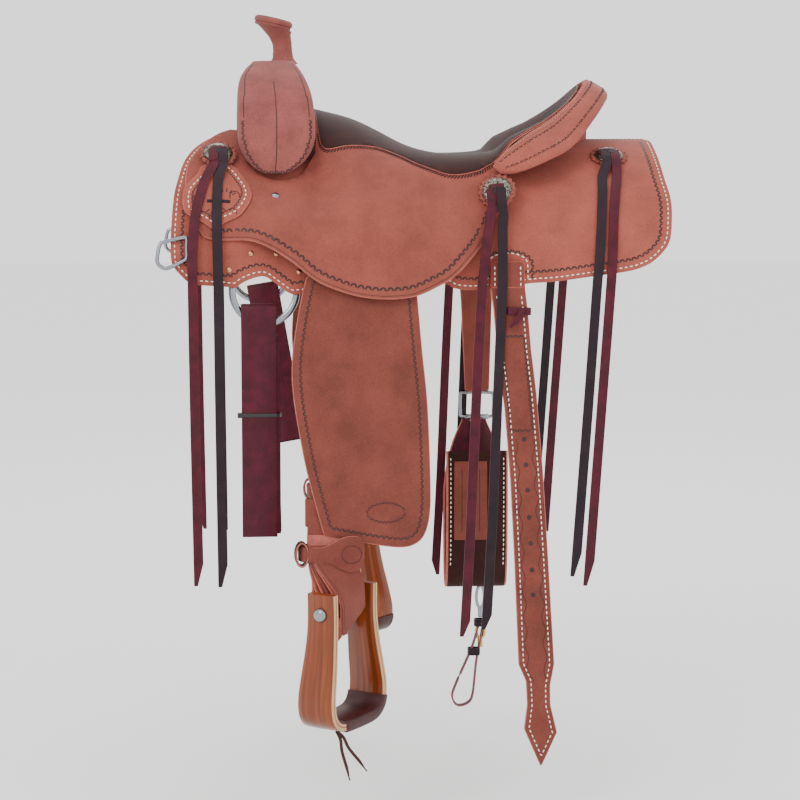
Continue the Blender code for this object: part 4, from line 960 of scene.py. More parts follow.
def roll_frame(pairs, k):
    """The inner point, way across and way up of the roll at one station."""
    a, b = pairs[k]
    ahead, behind = pairs[min(k + 1, len(pairs) - 1)], pairs[max(k - 1, 0)]
    run = (ahead[0] + ahead[1] - behind[0] - behind[1]).normalized()
    across = b - a
    up = run.cross(across).normalized()
    if up.z < 0:
        up = -up
    ends = min(k, len(pairs) - 1 - k) / 5
    return a, across, up * ROLL_THICK * (0.45 + 0.55 * min(ends, 1.0))


class SADDLE_OT_cantle(bpy.types.Operator):
    """Rolled cantle with its borders, and the cantle's back"""
    bl_idname = "saddle.cantle"
    bl_label = "Cantle"

    def execute(self, context):
        sizes = context.scene.saddle_sizes
        pairs = roll_pairs(10)
        rings = []
        for k in range(len(pairs)):
            a, across, up = roll_frame(pairs, k)
            rings.append([a + across * f + up * h for f, h in ROLL_SHAPE])
        finish("cantle_roll_leather", loft(rings), "roughout", replaces=("cantle_roll",))

        def face(u, v, t):
            k = min(max(u * (len(pairs) - 1), 0), len(pairs) - 1.001)
            low = int(k)
            spots_at = []
            for j in (low, low + 1):
                a, across, up = roll_frame(pairs, j)
                spots_at.append(a + across * v + up * (along(ROLL_SHAPE[:11], v) + 0.02 * t))
            return spots_at[0].lerp(spots_at[1], k - low)

        for label, v in (("inner", 0.26), ("outer", 0.78)):
            line = [(k / 300, v) for k in range(9, 292)]
            self.row("cantle_border_" + label, line, face, sizes.stamp_pitch * 0.85,
                     arc_form(0.0028, 0.0012), "tooled", label == "inner")
        line = [(k / 300, 0.13) for k in range(9, 292)]
        self.row("cantle_lacing", line, face, 0.0052, stitch_form(40, (1.5, 1.3, 1.2)), "cut_edge")
        path = [(x, s) for x, s, d in RIM_PANEL[1:]]
        path = [(x, -s) for x, s in path] + [(x, s) for x, s in reversed(path[:-1])]
        path = spline(path, 6)
        walls = []
        for off in (0.0035, 0.0065):
            line = []
            for k, (x, s) in enumerate(path):
                a, b = path[max(k - 1, 0)], path[min(k + 1, len(path) - 1)]
                length = hypot(b[0] - a[0], b[1] - a[1])
                line.append((x + off * (b[1] - a[1]) / length, s - off * (b[0] - a[0]) / length))
            walls.append(line)
        rings = []
        for (xa, sa), (xb, sb) in zip(*walls):
            high = along(RIM_D, xa) - 0.0112
            levels = [0.0009 + (high - 0.0009) * k / 6 for k in range(7)]
            rings.append([back(xb, sb, d) for d in levels]
                         + [back(xa, sa, d) for d in reversed(levels)])
        finish("cantle_back_leather", loft(rings), "roughout", replaces=("cantle_back",))
        return {"FINISHED"}

    def row(self, name, line, face, pitch, form, look, flip=False):
        """Copies of a small form at even steps along the roll."""
        places = []
        carry = 0.0
        for (u, v), (u2, v2) in zip(line, line[1:]):
            a, b = face(u, v, 1.0), face(u2, v2, 1.0)
            carry += (b - a).length
            if carry < pitch:
                continue
            carry -= pitch
            up = (b - a).cross(face(u, v + 0.05, 1.0) - face(u, v - 0.05, 1.0)).normalized()
            if up.z < 0 and abs(up.z) > 0.05:
                up = -up
            run = (b - a).normalized()
            places.append(posed(b, run, up.cross(run), up)
                          @ Matrix.Rotation(pi if flip else 0, 4, "Z"))
        scatter(name, form, places, look)


# The fork as seen from the front: outer skin and gullet, from the top to the foot
FORK_OUT = mm((0, 177), (28, 177), (62, 164), (100, 143), (133, 114), (154, 83), (165, 52),
              (169, 22), (170, -8))
FORK_IN = mm((0, 118), (16, 117.5), (34, 113), (52, 104), (68, 90), (79, 72), (86, 50), (89, 22),
             (89, -8))
FORK_FRONT = -0.2287
FORK_REAR = -0.1167
FORK_MIDDLE = -0.178
FORK_TIP_TOP = 0.072
FORK_TIP_DEPTH = 0.061
FORK_TOP_FRONT = mm((110, 0), (150, 2), (166, 9), (177, 20))
FORK_TOP_REAR = mm((100, 0), (134, 4), (162, 14), (177, 24))
FORK_SHAPE = ((0, 0), (0, 0.25), (0, 0.5), (0, 0.7), (0.003, 0.82), (0.013, 0.905), (0.035, 0.96),
              (0.08, 0.99), (0.16, 1.0), (0.30, 1.003), (0.5, 1.005))


def fork_ring(inner_yz, outer_yz, side):
    """A section of the fork's cover: front and rear edges, and its loop of points."""
    (yi, zi), (yo, zo) = inner_yz, outer_yz
    inner = Vector((0, yi * side, zi))
    out = Vector((0, yo * side, zo)) - inner
    front = FORK_FRONT + along(FORK_TOP_FRONT, zo)
    rear = FORK_REAR - along(FORK_TOP_REAR, zo)
    if zo < FORK_TIP_TOP:
        share = sqrt(max(1 - ((FORK_TIP_TOP - zo) / FORK_TIP_DEPTH) ** 2, 0.0004))
        front = FORK_MIDDLE + (front - FORK_MIDDLE) * share
        rear = FORK_MIDDLE + (rear - FORK_MIDDLE) * share
    half = [(front + u * (rear - front), v) for u, v in FORK_SHAPE]
    half += [(rear - u * (rear - front), v) for u, v in reversed(FORK_SHAPE[:-1])]
    return [inner + out * v + Vector((x, 0, 0)) for x, v in half]


def lie_on_jockey(p):
    """Lift a point that would be under the jockey onto it."""
    x, s, d = on_panel(*p)
    least = (seat(x, s) if abs(s) > 0.119 else JOCKEY_LIE) + 0.0004
    return back(x, s, least) if d < least else p


class SADDLE_OT_fork(bpy.types.Operator):
    """Fork cover with its centre seam and stamped borders"""
    bl_idname = "saddle.fork"
    bl_label = "Fork"

    def execute(self, context):
        outer, inner = spline(FORK_OUT, 8), spline(FORK_IN, 8)
        outer = [p for p in outer if p[1] > FORK_TIP_TOP - FORK_TIP_DEPTH]
        inner = inner[:len(outer)]
        stations = [(i, o, -1) for i, o in reversed(list(zip(inner, outer)))]
        stations += [(i, o, 1) for i, o in list(zip(inner, outer))[1:]]
        rings = [[lie_on_jockey(p) for p in fork_ring(*station)] for station in stations]
        finish("fork_cover_leather", loft(rings), "fork_hide",
               replaces=("fork_cover", "tree_fork"))
        for side, word in SIDES:
            self.trim(side, word, outer, inner)
        return {"FINISHED"}

    def trim(self, side, word, outer, inner):
        """The seam, stamping and creases of one side."""
        count = len(outer) - 1

        def face(u, v, t):
            """u from the front to the rear over the swell, v down it from the top."""
            k = min(max(v * count, 0), count - 0.001)
            low = int(k)
            rings = [fork_ring(inner[j], outer[j], side) for j in (low, low + 1)]
            j = u * (len(rings[0]) - 1)
            i = min(int(j), len(rings[0]) - 2)
            found = [ring[i].lerp(ring[i + 1], j - i) for ring in rings]
            p = found[0].lerp(found[1], k - low)
            middle = Vector((FORK_MIDDLE, side * 0.06, p.z * 0.6))
            return p + (p - middle).normalized() * 0.0002 * t

        seam = [(0.5, v / 100) for v in range(40, 100)]
        path = [face(u, v, 1.0) for u, v in seam]
        path = [p for p in path if on_panel(*p)[2] > seat(p.x, on_panel(*p)[1]) + 0.0004]
        self.line("fork_seam_" + word, path, 0.0014)

        def beside(v, step):
            """Where a row at this height runs, inside the front or rear edge."""
            edge = face(0.0 if step < 0 else 1.0, v, 0.0).x
            for k in range(1, 50):
                if abs(face(0.5 + step * k, v, 0.0).x - edge) < 0.0105:
                    return 0.5 + step * k
            return 0.5

        rows = [(v / 80, beside(v / 80, -0.01), beside(v / 80, 0.01)) for v in range(16, 80)]
        low = [row for row in rows if face(0.5, row[0], 0.0).z < 0.090]
        low = [row for row in low if row[2] - row[1] > 0.03]
        path = [(a, v) for v, a, b in low] + [(b, v) for v, a, b in reversed(low)]
        stamp("fork_border_" + word, path, face, flip=True, size=0.9)
        high = [row for row in rows if face(0.5, row[0], 0.0).z >= 0.090]
        for label, pick in (("front", 1), ("rear", 2)):
            path = [(row[pick], row[0]) for row in high]
            ribbon("fork_crease_%s_%s" % (label, word), path, face, 0.0012)

    def line(self, name, points, width):
        """A raised seam through points in space."""
        rings = []
        for k, p in enumerate(points):
            run = run_at(points, k)
            out = Vector((0, p.y, p.z * 0.5)).normalized()
            out = (out - run * out.dot(run)).normalized()
            wide = run.cross(out)
            rings.append([p + wide * w * width + out * h * width
                          for w, h in ((-0.5, -0.3), (-0.3, 0.25), (0.3, 0.25), (0.5, -0.3))])
        finish(name, loft(rings), "tooled")


# Horn neck, upright, then tilted to meet the cap: middle x, height, half length, half width
HORN_NECK = mm((-158, 174, 21.5, 22), (-158.5, 177, 19, 19.5), (-159, 181, 16.4, 17),
               (-159.5, 188, 14.8, 15.4), (-160, 197, 14.2, 14.8), (-161, 205, 14.8, 15),
               (-164, 213, 17, 17), (-168.5, 221, 21.5, 21.5), (-172, 227.5, 26, 26.5))
CAP_MIDDLE = Vector((-0.1735, 0, 0.2345))
CAP_TILT = radians(12.7)
CAP_LONG = 0.0287
CAP_WIDE = 0.0310
CAP_STITCHES = 40
HORN_SIDES = 48
# The cap and the layer below it: share of the radius, and height above the cap's middle
CAP_UNDER = ((0.30, -0.0070), (0.80, -0.0070), (0.91, -0.0066), (0.945, -0.0052), (0.945, -0.0034),
             (0.93, -0.0024), (0.60, -0.0022), (0.30, -0.0022))
CAP_UPPER = ((0.30, -0.0024), (0.90, -0.0024), (0.975, -0.0018), (1.0, -0.0002), (1.0, 0.0028),
             (0.985, 0.0044), (0.94, 0.0056), (0.86, 0.0062), (0.60, 0.0068), (0.30, 0.0070),
             (0.05, 0.0071))


class SADDLE_OT_horn(bpy.types.Operator):
    """Horn with its wrapped neck and laced cap"""
    bl_idname = "saddle.horn"
    bl_label = "Horn"

    def execute(self, context):
        rings = []
        for x, z, long, wide in spline(HORN_NECK, 6):
            tilt = Matrix.Rotation(CAP_TILT * ease((z - 0.200) / 0.028), 3, "Y")
            step = 1 + 0.018 * ((z * 110) % 1.0)
            rings.append([Vector((x, 0, z)) + tilt
                          @ Vector((long * step * cos(2 * pi * k / HORN_SIDES),
                                    wide * step * sin(2 * pi * k / HORN_SIDES), 0))
                          for k in range(HORN_SIDES)])
        finish("horn_neck_wrap", loft(rings), "fork_hide", replaces=("horn_wrap",))
        core = []
        for ring in rings:
            middle = sum(ring, Vector()) / HORN_SIDES
            core.append([middle.lerp(p, 0.8) for p in ring])
        finish("horn_post_wood", loft(core), "tree_wood", replaces=("horn_post",))
        turn = Matrix.Rotation(CAP_TILT, 3, "Y")
        for name, shape, replaces in (("under", CAP_UNDER, ()), ("top", CAP_UPPER, ("horn_cap",))):
            rings = [[CAP_MIDDLE + turn @ Vector((CAP_LONG * r * cos(2 * pi * k / HORN_SIDES),
                                                  CAP_WIDE * r * sin(2 * pi * k / HORN_SIDES), h))
                      for k in range(HORN_SIDES)] for r, h in shape]
            finish("horn_cap_" + name, loft(rings), "fork_hide", replaces=replaces)
        places = []
        up = turn @ Vector((0, 0, 1))
        for k in range(CAP_STITCHES):
            a = 2 * pi * k / CAP_STITCHES
            run = turn @ Vector((-sin(a), cos(a), 0))
            spot = Vector((CAP_LONG * 0.86 * cos(a), CAP_WIDE * 0.86 * sin(a), 0.0063))
            places.append(posed(CAP_MIDDLE + turn @ spot, run, up.cross(run), up))
        scatter("horn_cap_stitching", stitch_form(), places, "tooled")
        return {"FINISHED"}


SLOT_AT = (-0.2560, 0.2325)


class SADDLE_OT_keepers(bpy.types.Operator):
    """Carved latigo keepers with their slots and stitching"""
    bl_idname = "saddle.keepers"
    bl_label = "Latigo keepers"

    def execute(self, context):
        outline = spline(KEEPER, 7, closed=True)
        dense = spaced(outline, 0.003, True)
        for side, word in SIDES:
            place = on_seat(GAP, GAP + KEEPER_THICK, side)
            finish("latigo_keeper_%s_leather" % word, plate(outline, place, 0.006, 0.0014),
                   "roughout", replaces=("latigo_keeper_" + word,))
            sew("latigo_keeper_%s_stitching" % word, inset(dense, 0.0085), place, closed=True)
            self.carve(word, place)
            inner = clear_of(inset(dense, 0.0150), outline, 0.0150)
            stamp("latigo_keeper_%s_border" % word, inner, place, closed=True, size=0.62)
            x, s = SLOT_AT
            slot = [(x - 0.0185 + 0.037 * k / 12, s) for k in range(13)]
            ribbon("latigo_keeper_%s_slot" % word, slot, place, 0.0058, rise=0.0004,
                   look="dark_string")
        return {"FINISHED"}

    def carve(self, word, place):
        """Scrolls and leaf veins, laid out freely about the slot."""
        x, s = SLOT_AT
        lines = []
        for centre, radius, begin, sweep in (((-0.031, -0.004), 0.0095, 30, 250),
                                             ((-0.004, -0.022), 0.0085, -40, 250),
                                             ((0.024, -0.010), 0.0095, 140, 260),
                                             ((0.020, 0.016), 0.0075, 200, 220),
                                             ((-0.010, 0.021), 0.0080, -20, 230)):
            line = []
            for k in range(21):
                r, a = radius * (1 - 0.5 * k / 20), radians(begin + sweep * k / 20)
                line.append((x + centre[0] + r * cos(a), s + centre[1] + r * sin(a)))
            lines.append(line)
        for k in range(7):
            a = radians(200 + 20 * k)
            lines.append([(x + 0.008 + r * cos(a), s - 0.004 + r * sin(a) * 0.8)
                          for r in (0.012, 0.015, 0.018, 0.021, 0.024)])
        for k in range(5):
            a = radians(30 + 26 * k)
            lines.append([(x - 0.006 + r * cos(a), s + 0.006 + r * sin(a) * 0.8)
                          for r in (0.010, 0.0135, 0.017, 0.020)])
        for k, line in enumerate(lines):
            ribbon("keeper_carving_%s_%02d" % (word, k), line, place, 0.0016, rise=0.0005)


RING_OUTER = 0.0508
RING_WIDTH = 0.0100
RING_THICK = 0.0050
DEE_X = -0.3020
DEE_TOP = -0.0745
DEE_TOP_OUT = 0.21515
DEE_LEAN = -0.2257
DEE_SHAPE = mm((0, -78), (0, -90), (0, -103), (-3.5, -107.5), (-27, -118), (-36.5, -116),
               (-41.5, -109), (-40.5, -96), (-38, -86), (-33, -82), (-4.5, -75.6))
DEE_BAR = 0.0029
SCREW_AT = ((-0.1775, 0.2070), (-0.1725, 0.2070))
SCREW_HEAD = mm((0, 2.2), (3.4, 1.9), (5.2, 1.2), (6.0, 0.2), (5.8, -1), (0, -1))


class SADDLE_OT_rigging(bpy.types.Operator):
    """Rigging rings and breast collar dees"""
    bl_idname = "saddle.rigging"
    bl_label = "Rings and dees"

    def execute(self, context):
        steps = context.scene.saddle_sizes.ring_steps
        middle = RING_OUTER - RING_WIDTH / 2
        profile = [(middle + RING_WIDTH / 2 * cos(a * pi / 8), RING_THICK / 2 * sin(a * pi / 8))
                   for a in range(17)]
        for side, word in SIDES:
            axis = (RING_AXIS[0], side * RING_AXIS[1], RING_AXIS[2])
            place = aimed((RING_X, side * RING_Y, RING_Z), axis)
            finish("rigging_ring_%s_steel" % word, turned(profile, steps, place), "steel",
                   replaces=("rigging_ring_" + word,))
            points = [Vector((DEE_X + x, side * (DEE_TOP_OUT + DEE_LEAN * (z - DEE_TOP)), z))
                      for x, z in spline(DEE_SHAPE, 5, closed=True)]
            finish("breast_dee_%s_steel" % word, pipe(points, DEE_BAR, closed=True), "steel",
                   "dee_" + word, replaces=("breast_dee_" + word,))
        place = spots(SCREW_AT, on_seat(-0.003, 0.0, -1), 0.004)[0]
        finish("jockey_screw_near", turned(SCREW_HEAD, 24, place), "steel")
        return {"FINISHED"}


# The off side's conchos: base, and the way they face
CONCHO_BASE = {"front": (Vector((-0.2570, 0.1454, 0.0399)), Vector((0.040, 0.632, 0.774))),
               "middle": (Vector((0.1424, 0.1865, -0.0128)), Vector((-0.247, 0.855, 0.456))),
               "rear": (Vector((0.3170, 0.1058, 0.0356)), Vector((-0.003, 0.482, 0.876)))}
FLUTES = 18
ROSETTE = ((0.0250, -0.0002, 0), (0.0266, 0.0006, 1), (0.0270, 0.0016, 1), (0.0262, 0.0028, 1),
           (0.0235, 0.0034, 0.5), (0.0215, 0.0030, 0.1), (0.0190, 0.0028, 0), (0.0020, 0.0028, 0))
CONCHO = ((0.0200, 0.0028, 0), (0.0206, 0.0036, 1), (0.0207, 0.0046, 1), (0.0199, 0.0053, 0.5),
          (0.0180, 0.0060, 0), (0.0150, 0.0070, 0), (0.0100, 0.0078, 0), (0.0040, 0.0082, 0),
          (0.0006, 0.0083, 0))


def concho_frame(place, side):
    """A concho's base, outward axis, and the ways down the leather and across it."""
    base, axis = CONCHO_BASE[place]
    base = Vector((base.x, side * base.y, base.z))
    axis = Vector((axis.x, side * axis.y, axis.z)).normalized()
    down = Vector((0, side * axis.z, -side * axis.y))
    if down.z > 0:
        down = -down
    down = (down - axis * down.dot(axis)).normalized()
    across = down.cross(axis) * side
    if across.x < 0:
        across = -across
    return base, axis, down, across


def fluted(rows, count, flutes, depth, lift, matrix):
    """A turned shape whose rim waves in and out and up and down."""
    rings = []
    for radius, height, share in rows:
        ring = []
        for k in range(count):
            a = 2 * pi * k / count
            wave = cos(flutes * a) * share
            ring.append(matrix @ Vector(((radius + depth * wave) * cos(a),
                                         (radius + depth * wave) * sin(a), height + lift * wave)))
        rings.append(ring)
    return loft(rings)


class SADDLE_OT_conchos(bpy.types.Operator):
    """Silver conchos on fluted leather rosettes, with their string knots"""
    bl_idname = "saddle.conchos"
    bl_label = "Conchos"

    def execute(self, context):
        for side, word in SIDES:
            for place in CONCHO_BASE:
                base, axis, down, across = concho_frame(place, side)
                matrix = posed(base, across, axis.cross(across), axis)
                name = "%s_%s" % (place, word)
                finish("rosette_" + name, fluted(ROSETTE, 144, FLUTES, 0.0011, 0.0005, matrix),
                       "pleats")
                finish("concho_%s_silver" % name, fluted(CONCHO, 120, 24, 0.0004, 0.0, matrix),
                       "silver", replaces=("concho_" + name,))
                for shift, height, look, wide in ((-0.0015, 0.0100, "latigo", 0.0135),
                                                  (0.0035, 0.0122, "dark_string", 0.0100)):
                    route = [base + across * (0.0105 * cos(a * pi / 10)) + down * shift
                             + axis * (0.0078 + (height - 0.0078) * sin(a * pi / 10))
                             for a in range(11)]
                    finish("knot_%s_%02d" % (name, round(height * 1e4)),
                           strap(route, wide, 0.0022, lambda p: axis), look)
        return {"FINISHED"}


# Saddle strings below their conchos: x, out from the centre plane and height, in mm
STRINGS = {"front": (((-275, 181.8, 6), (-283, 198.2, -18), (-289.5, 212.3, -45),
                      (-292.5, 221.9, -75), (-294, 228.1, -105), (-294, 234.8, -150),
                      (-292.5, 234.8, -340), (-289.5, 234.8, -572)),
                     ((-256.5, 181.8, 6), (-258.5, 198.2, -18), (-259, 213.2, -45),
                      (-259, 222.7, -75), (-258.5, 228, -105), (-258, 234.8, -150),
                      (-257, 234.8, -340), (-255, 234.8, -574))),
           "middle": (((131, 209, -44), (128, 215.5, -60), (125, 223.5, -76), (122, 229.5, -95),
                       (118.5, 231.5, -125), (116, 231.8, -150), (109.5, 231.8, -280),
                       (101.5, 231.8, -480), (92.5, 231.8, -653)),
                      ((149, 207.5, -46), (148, 211.5, -56), (147, 215, -68), (146.5, 223, -92),
                       (145.5, 229, -125), (145, 231.8, -150), (140, 231.8, -280),
                       (132.5, 231.8, -480), (124, 231.8, -643))),
           "rear": (((301, 149, 8), (298, 168.5, -12), (293.5, 192, -45), (289, 210.5, -85),
                     (285, 221, -125), (282, 225.5, -150), (271, 226.5, -320), (254, 226.5, -568)),
                    ((322, 149, 8), (317, 169, -12), (311, 192.5, -45), (307, 210.8, -85),
                     (304, 221.3, -125), (302, 225.5, -150), (290.5, 226.5, -320),
                     (273, 226.5, -582)))}
STRING_OVER = mm((0, 11.4), (14, 11.0), (21.5, 9.2), (28, 7.0))
STRING_WIDTH = 0.014
STRING_THICK = 0.0030


def outward(s):
    angle = min(abs(s) / BACK_RADIUS, SIDE_ANGLE)
    return Vector((0, sin(angle) if s >= 0 else -sin(angle), cos(angle)))


STRAP_SECTION = ((-0.5, -0.28), (-0.47, -0.5), (0.47, -0.5), (0.5, -0.28), (0.5, 0.28),
                 (0.47, 0.5), (-0.47, 0.5), (-0.5, 0.28))


def strap(points, width, thick, out_at, closed=False, slant=0.0):
    """A bmesh of a flat strap; its cut edges take the second material."""
    rings = []
    n = len(points)
    lengths = [0.0]
    for a, b in zip(points, points[1:]):
        lengths.append(lengths[-1] + (b - a).length)
    for k, p in enumerate(points):
        run = run_at(points, k, closed)
        out = out_at(p)
        out = (out - run * out.dot(run)).normalized()
        across = run.cross(out).normalized()
        wide = width
        shift = 0.0
        left = lengths[-1] - lengths[k]
        if slant and left < slant:
            wide = width * max(left / slant, 0.4)
            shift = (width - wide) / 2
        rings.append([p + across * (u * wide + shift) + out * v * thick for u, v in STRAP_SECTION])
    bm = loft(rings, closed)
    bm.faces.ensure_lookup_table()
    for k, face in enumerate(bm.faces):
        if k < (n if closed else n - 1) * 8 and k % 8 in (3, 7):
            face.material_index = 1
    return bm


def pipe(points, radius, closed=False, count=14):
    """A round bar through the points."""
    rings = []
    out = None
    for k, p in enumerate(points):
        run = run_at(points, k, closed)
        if out is None:
            out = run.orthogonal().normalized()
        out = (out - run * out.dot(run)).normalized()
        side = run.cross(out)
        rings.append([p + radius * (out * cos(2 * pi * j / count) + side * sin(2 * pi * j / count))
                      for j in range(count)])
    return loft(rings, closed)


def smooth_route(points, steps):
    return [Vector(p) for p in spline([tuple(p) for p in points], steps)]


class SADDLE_OT_strings(bpy.types.Operator):
    """Twelve saddle string tails, free cords of flat latigo leather"""
    bl_idname = "saddle.strings"
    bl_label = "Saddle strings"

    def execute(self, context):
        for side, word in SIDES:
            for place, routes in STRINGS.items():
                base, axis, down, across = concho_frame(place, side)
                over = [base + down * far + axis * high for far, high in STRING_OVER]
                darker = 1 if place != "rear" else 0
                for k, (points, shift) in enumerate(zip(routes, (-0.007, 0.007))):
                    route = [p + across * shift for p in over]
                    route += [Vector((x, side * y, z)) for x, y, z in mm(*points)]
                    route = smooth_route(route, 5)
                    bm = strap(route, STRING_WIDTH,
                               STRING_THICK, lambda p: outward(side * down_to(max(p.z, -0.14))),
                               slant=0.014)
                    piece = finish("saddle_string_%s_%s_%s" % (place, word, "ab"[k]), bm,
                                   "dark_string" if k == darker else "latigo",
                                   extra=("latigo_edge",),
                                   replaces=("saddle_strings_%s_%s" % (place, word),))
                    hang(route)
        return {"FINISHED"}


LATIGO_X = -0.2016
LATIGO_WIDTH = 0.050
STRAP_Y = 0.22297
# The latigo's route round the ring's bar: out from the strap's middle, and height
LATIGO_WRAP = mm((-5.4, -497), (-5.4, -400), (-5.4, -300), (-5.4, -205), (-5.6, -182),
                 (-4.2, -173.4), (0, -171), (4.2, -173.4), (5.9, -182), (5.9, -205), (5.4, -300),
                 (5.6, -400), (5.4, -503))


LATIGO_HOLES = mm((-201.6, -234.5), (-195.8, -372.7))


def on_strap(x, z, side, high):
    return Vector((x, side * (STRAP_Y + high), z))


class SADDLE_OT_latigo(bpy.types.Operator):
    """Folded latigo with its cable tie, and the off billet"""
    bl_idname = "saddle.latigo"
    bl_label = "Latigo and off billet"

    def execute(self, context):
        route = [on_strap(LATIGO_X + 0.006 * ease((-v - 0.25) / 0.25) * (k < 6), v, -1, u)
                 for k, (u, v) in enumerate(LATIGO_WRAP)]
        bm = strap(smooth_route(route, 4), LATIGO_WIDTH, 0.0040, self.out)
        finish("latigo_near_wrap", bm, "latigo", "latigo", ("latigo_near",),
               extra=("latigo_edge",))
        for k, (high, shift, top, low) in enumerate(((-0.0009, 0.0035, -0.215, -0.494),
                                                     (0.0017, 0.0055, -0.222, -0.499))):
            route = [on_strap(LATIGO_X + shift, top + (low - top) * j / 8, -1, high)
                     for j in range(9)]
            bm = strap(route, LATIGO_WIDTH - 0.001 * k, 0.0022, lambda p: Vector((0, -1, 0)))
            finish("latigo_near_layer_%d" % k, bm, "latigo", "latigo", extra=("latigo_edge",))
        holes = [aimed(on_strap(x, z, -1, 0.0073), (0, -1, 0)) for x, z in LATIGO_HOLES]
        scatter("latigo_near_holes", hole_form(0.0028), holes, "dark_string", "latigo")
        finish("latigo_tie_band", band(Vector((LATIGO_X + 0.0022, -STRAP_Y, -0.3275)), (1, 0, 0),
                                       (0, 1, 0), 0.0285, 0.0085, 0.0047, 0.0014), "nylon",
               "latigo", ("latigo_tie",))
        head = loft([[Vector((LATIGO_X - 0.0268 + 0.0042 * x, -STRAP_Y - 0.0068 + y * 0.0026,
                              -0.3275 + z * 0.0036)) for x, y in ((-1, -.6), (-.6, -1), (.6, -1),
                                                                  (1, -.6), (1, 1), (-1, 1))]
                     for z in (-1, -0.85, 0.85, 1)])
        finish("latigo_tie_head", head, "nylon", "latigo")
        route = [on_strap(RING_X, v * (0.39 / 0.497) - 0.0364 if v < -0.21 else v, 1, u)
                 for u, v in LATIGO_WRAP]
        bm = strap(smooth_route(route, 4), LATIGO_WIDTH, 0.0040, self.out)
        finish("billet_off_wrap", bm, "latigo", "off_billet", ("billet_off",),
               extra=("latigo_edge",))
        return {"FINISHED"}

    def out(self, p):
        """Away from the ring's bar, so that the strap turns over it."""
        side = 1 if p.y > 0 else -1
        away = Vector((0, p.y - side * STRAP_Y, max(p.z + 0.19, 0.0)))
        return away if away.length > 1e-5 else Vector((0, 0, 1))


def hole_form(radius):
    """A punched hole: a dark dish in the leather."""
    return turned([(0, 0.0001), (radius * 0.7, 0.0001), (radius, 0.0004), (radius * 1.15, 0.0002),
                   (radius * 1.2, -0.0004), (0, -0.0004)], 16, Matrix())


def band(centre, across, out, half_across, half_out, high, thick, corner=0.35):
    """A closed loop of strap round something, its width upright."""
    across, out = Vector(across), Vector(out)
    shape = []
    for k in range(48):
        a = 2 * pi * k / 48
        u, v = cos(a), sin(a)
        bulge = max(abs(u), abs(v)) ** (1 - corner)
        shape.append((u / bulge, v / bulge))
    rings = []
    for u, v in shape:
        p = centre + across * u * half_across + out * v * half_out
        away = (across * u + out * v * 1.5).normalized()
        rings.append([p + away * thick * w + Vector((0, 0, h * high))
                      for w, h in ((0, -0.5), (0.8, -0.5), (1, -0.42), (1, 0.42), (0.8, 0.5),
                                   (0, 0.5), (-0.1, 0.4), (-0.1, -0.4))])
    return loft(rings, closed=True)


# Fenders, stirrup leathers and hobble straps
LEATHER_IN = 0.0060
LEATHER_THICK = 0.0060
FENDER_THICK = 0.0040
LEATHER_DRIFT = 0.0495
FENDER_NECK = mm((-20, -62), (-10, -80), (0, -100), (11, -120), (22.9, -156.6))
FENDER_RIGHT = mm((22.9, -156.6), (29, -235), (35.6, -312), (38.2, -413.6), (36.9, -460.7),
                  (29, -490.7), (13.9, -505), (-9, -508.6), (-47.3, -503.6))
FENDER_LEFT = mm((-113.8, -490.7), (-133.9, -413.6), (-144.2, -363.6), (-154.3, -299),
                 (-155.6, -248), (-146.6, -185), (-135.2, -134))
FENDER_LEFT_NECK = mm((-135, -134), (-123, -120), (-110, -100), (-100, -80), (-90, -62))
STIRRUP_TURN = radians(55)
BOLT = (-0.0875, 0.305, -0.592)
OVAL_AT = (-0.0255, -0.4600)


def leather_centre(z, side):
    """The stirrup leather's middle, way across and way out at a height."""
    if z >= -0.5:
        x = FENDER_AXIS_X - LEATHER_DRIFT * ease((-0.15 - z) / 0.35)
        s = down_to(z, LEATHER_IN)
        p = back(x, side * s, LEATHER_IN + LEATHER_THICK / 2, CREST_MIDDLE)
        turn = 0.0
    else:
        share = min((-0.5 - z) / 0.087, 1.0)
        last = leather_centre(-0.5, side)[0]
        p = last.lerp(Vector((BOLT[0], side * BOLT[1], z)), share)
        p.x = last.x + (BOLT[0] - last.x) * ease(share)
        p.z = z
        turn = STIRRUP_TURN * ease(share)
    return p, Vector((cos(turn), -side * sin(turn), 0)), Vector((sin(turn), side * cos(turn), 0))


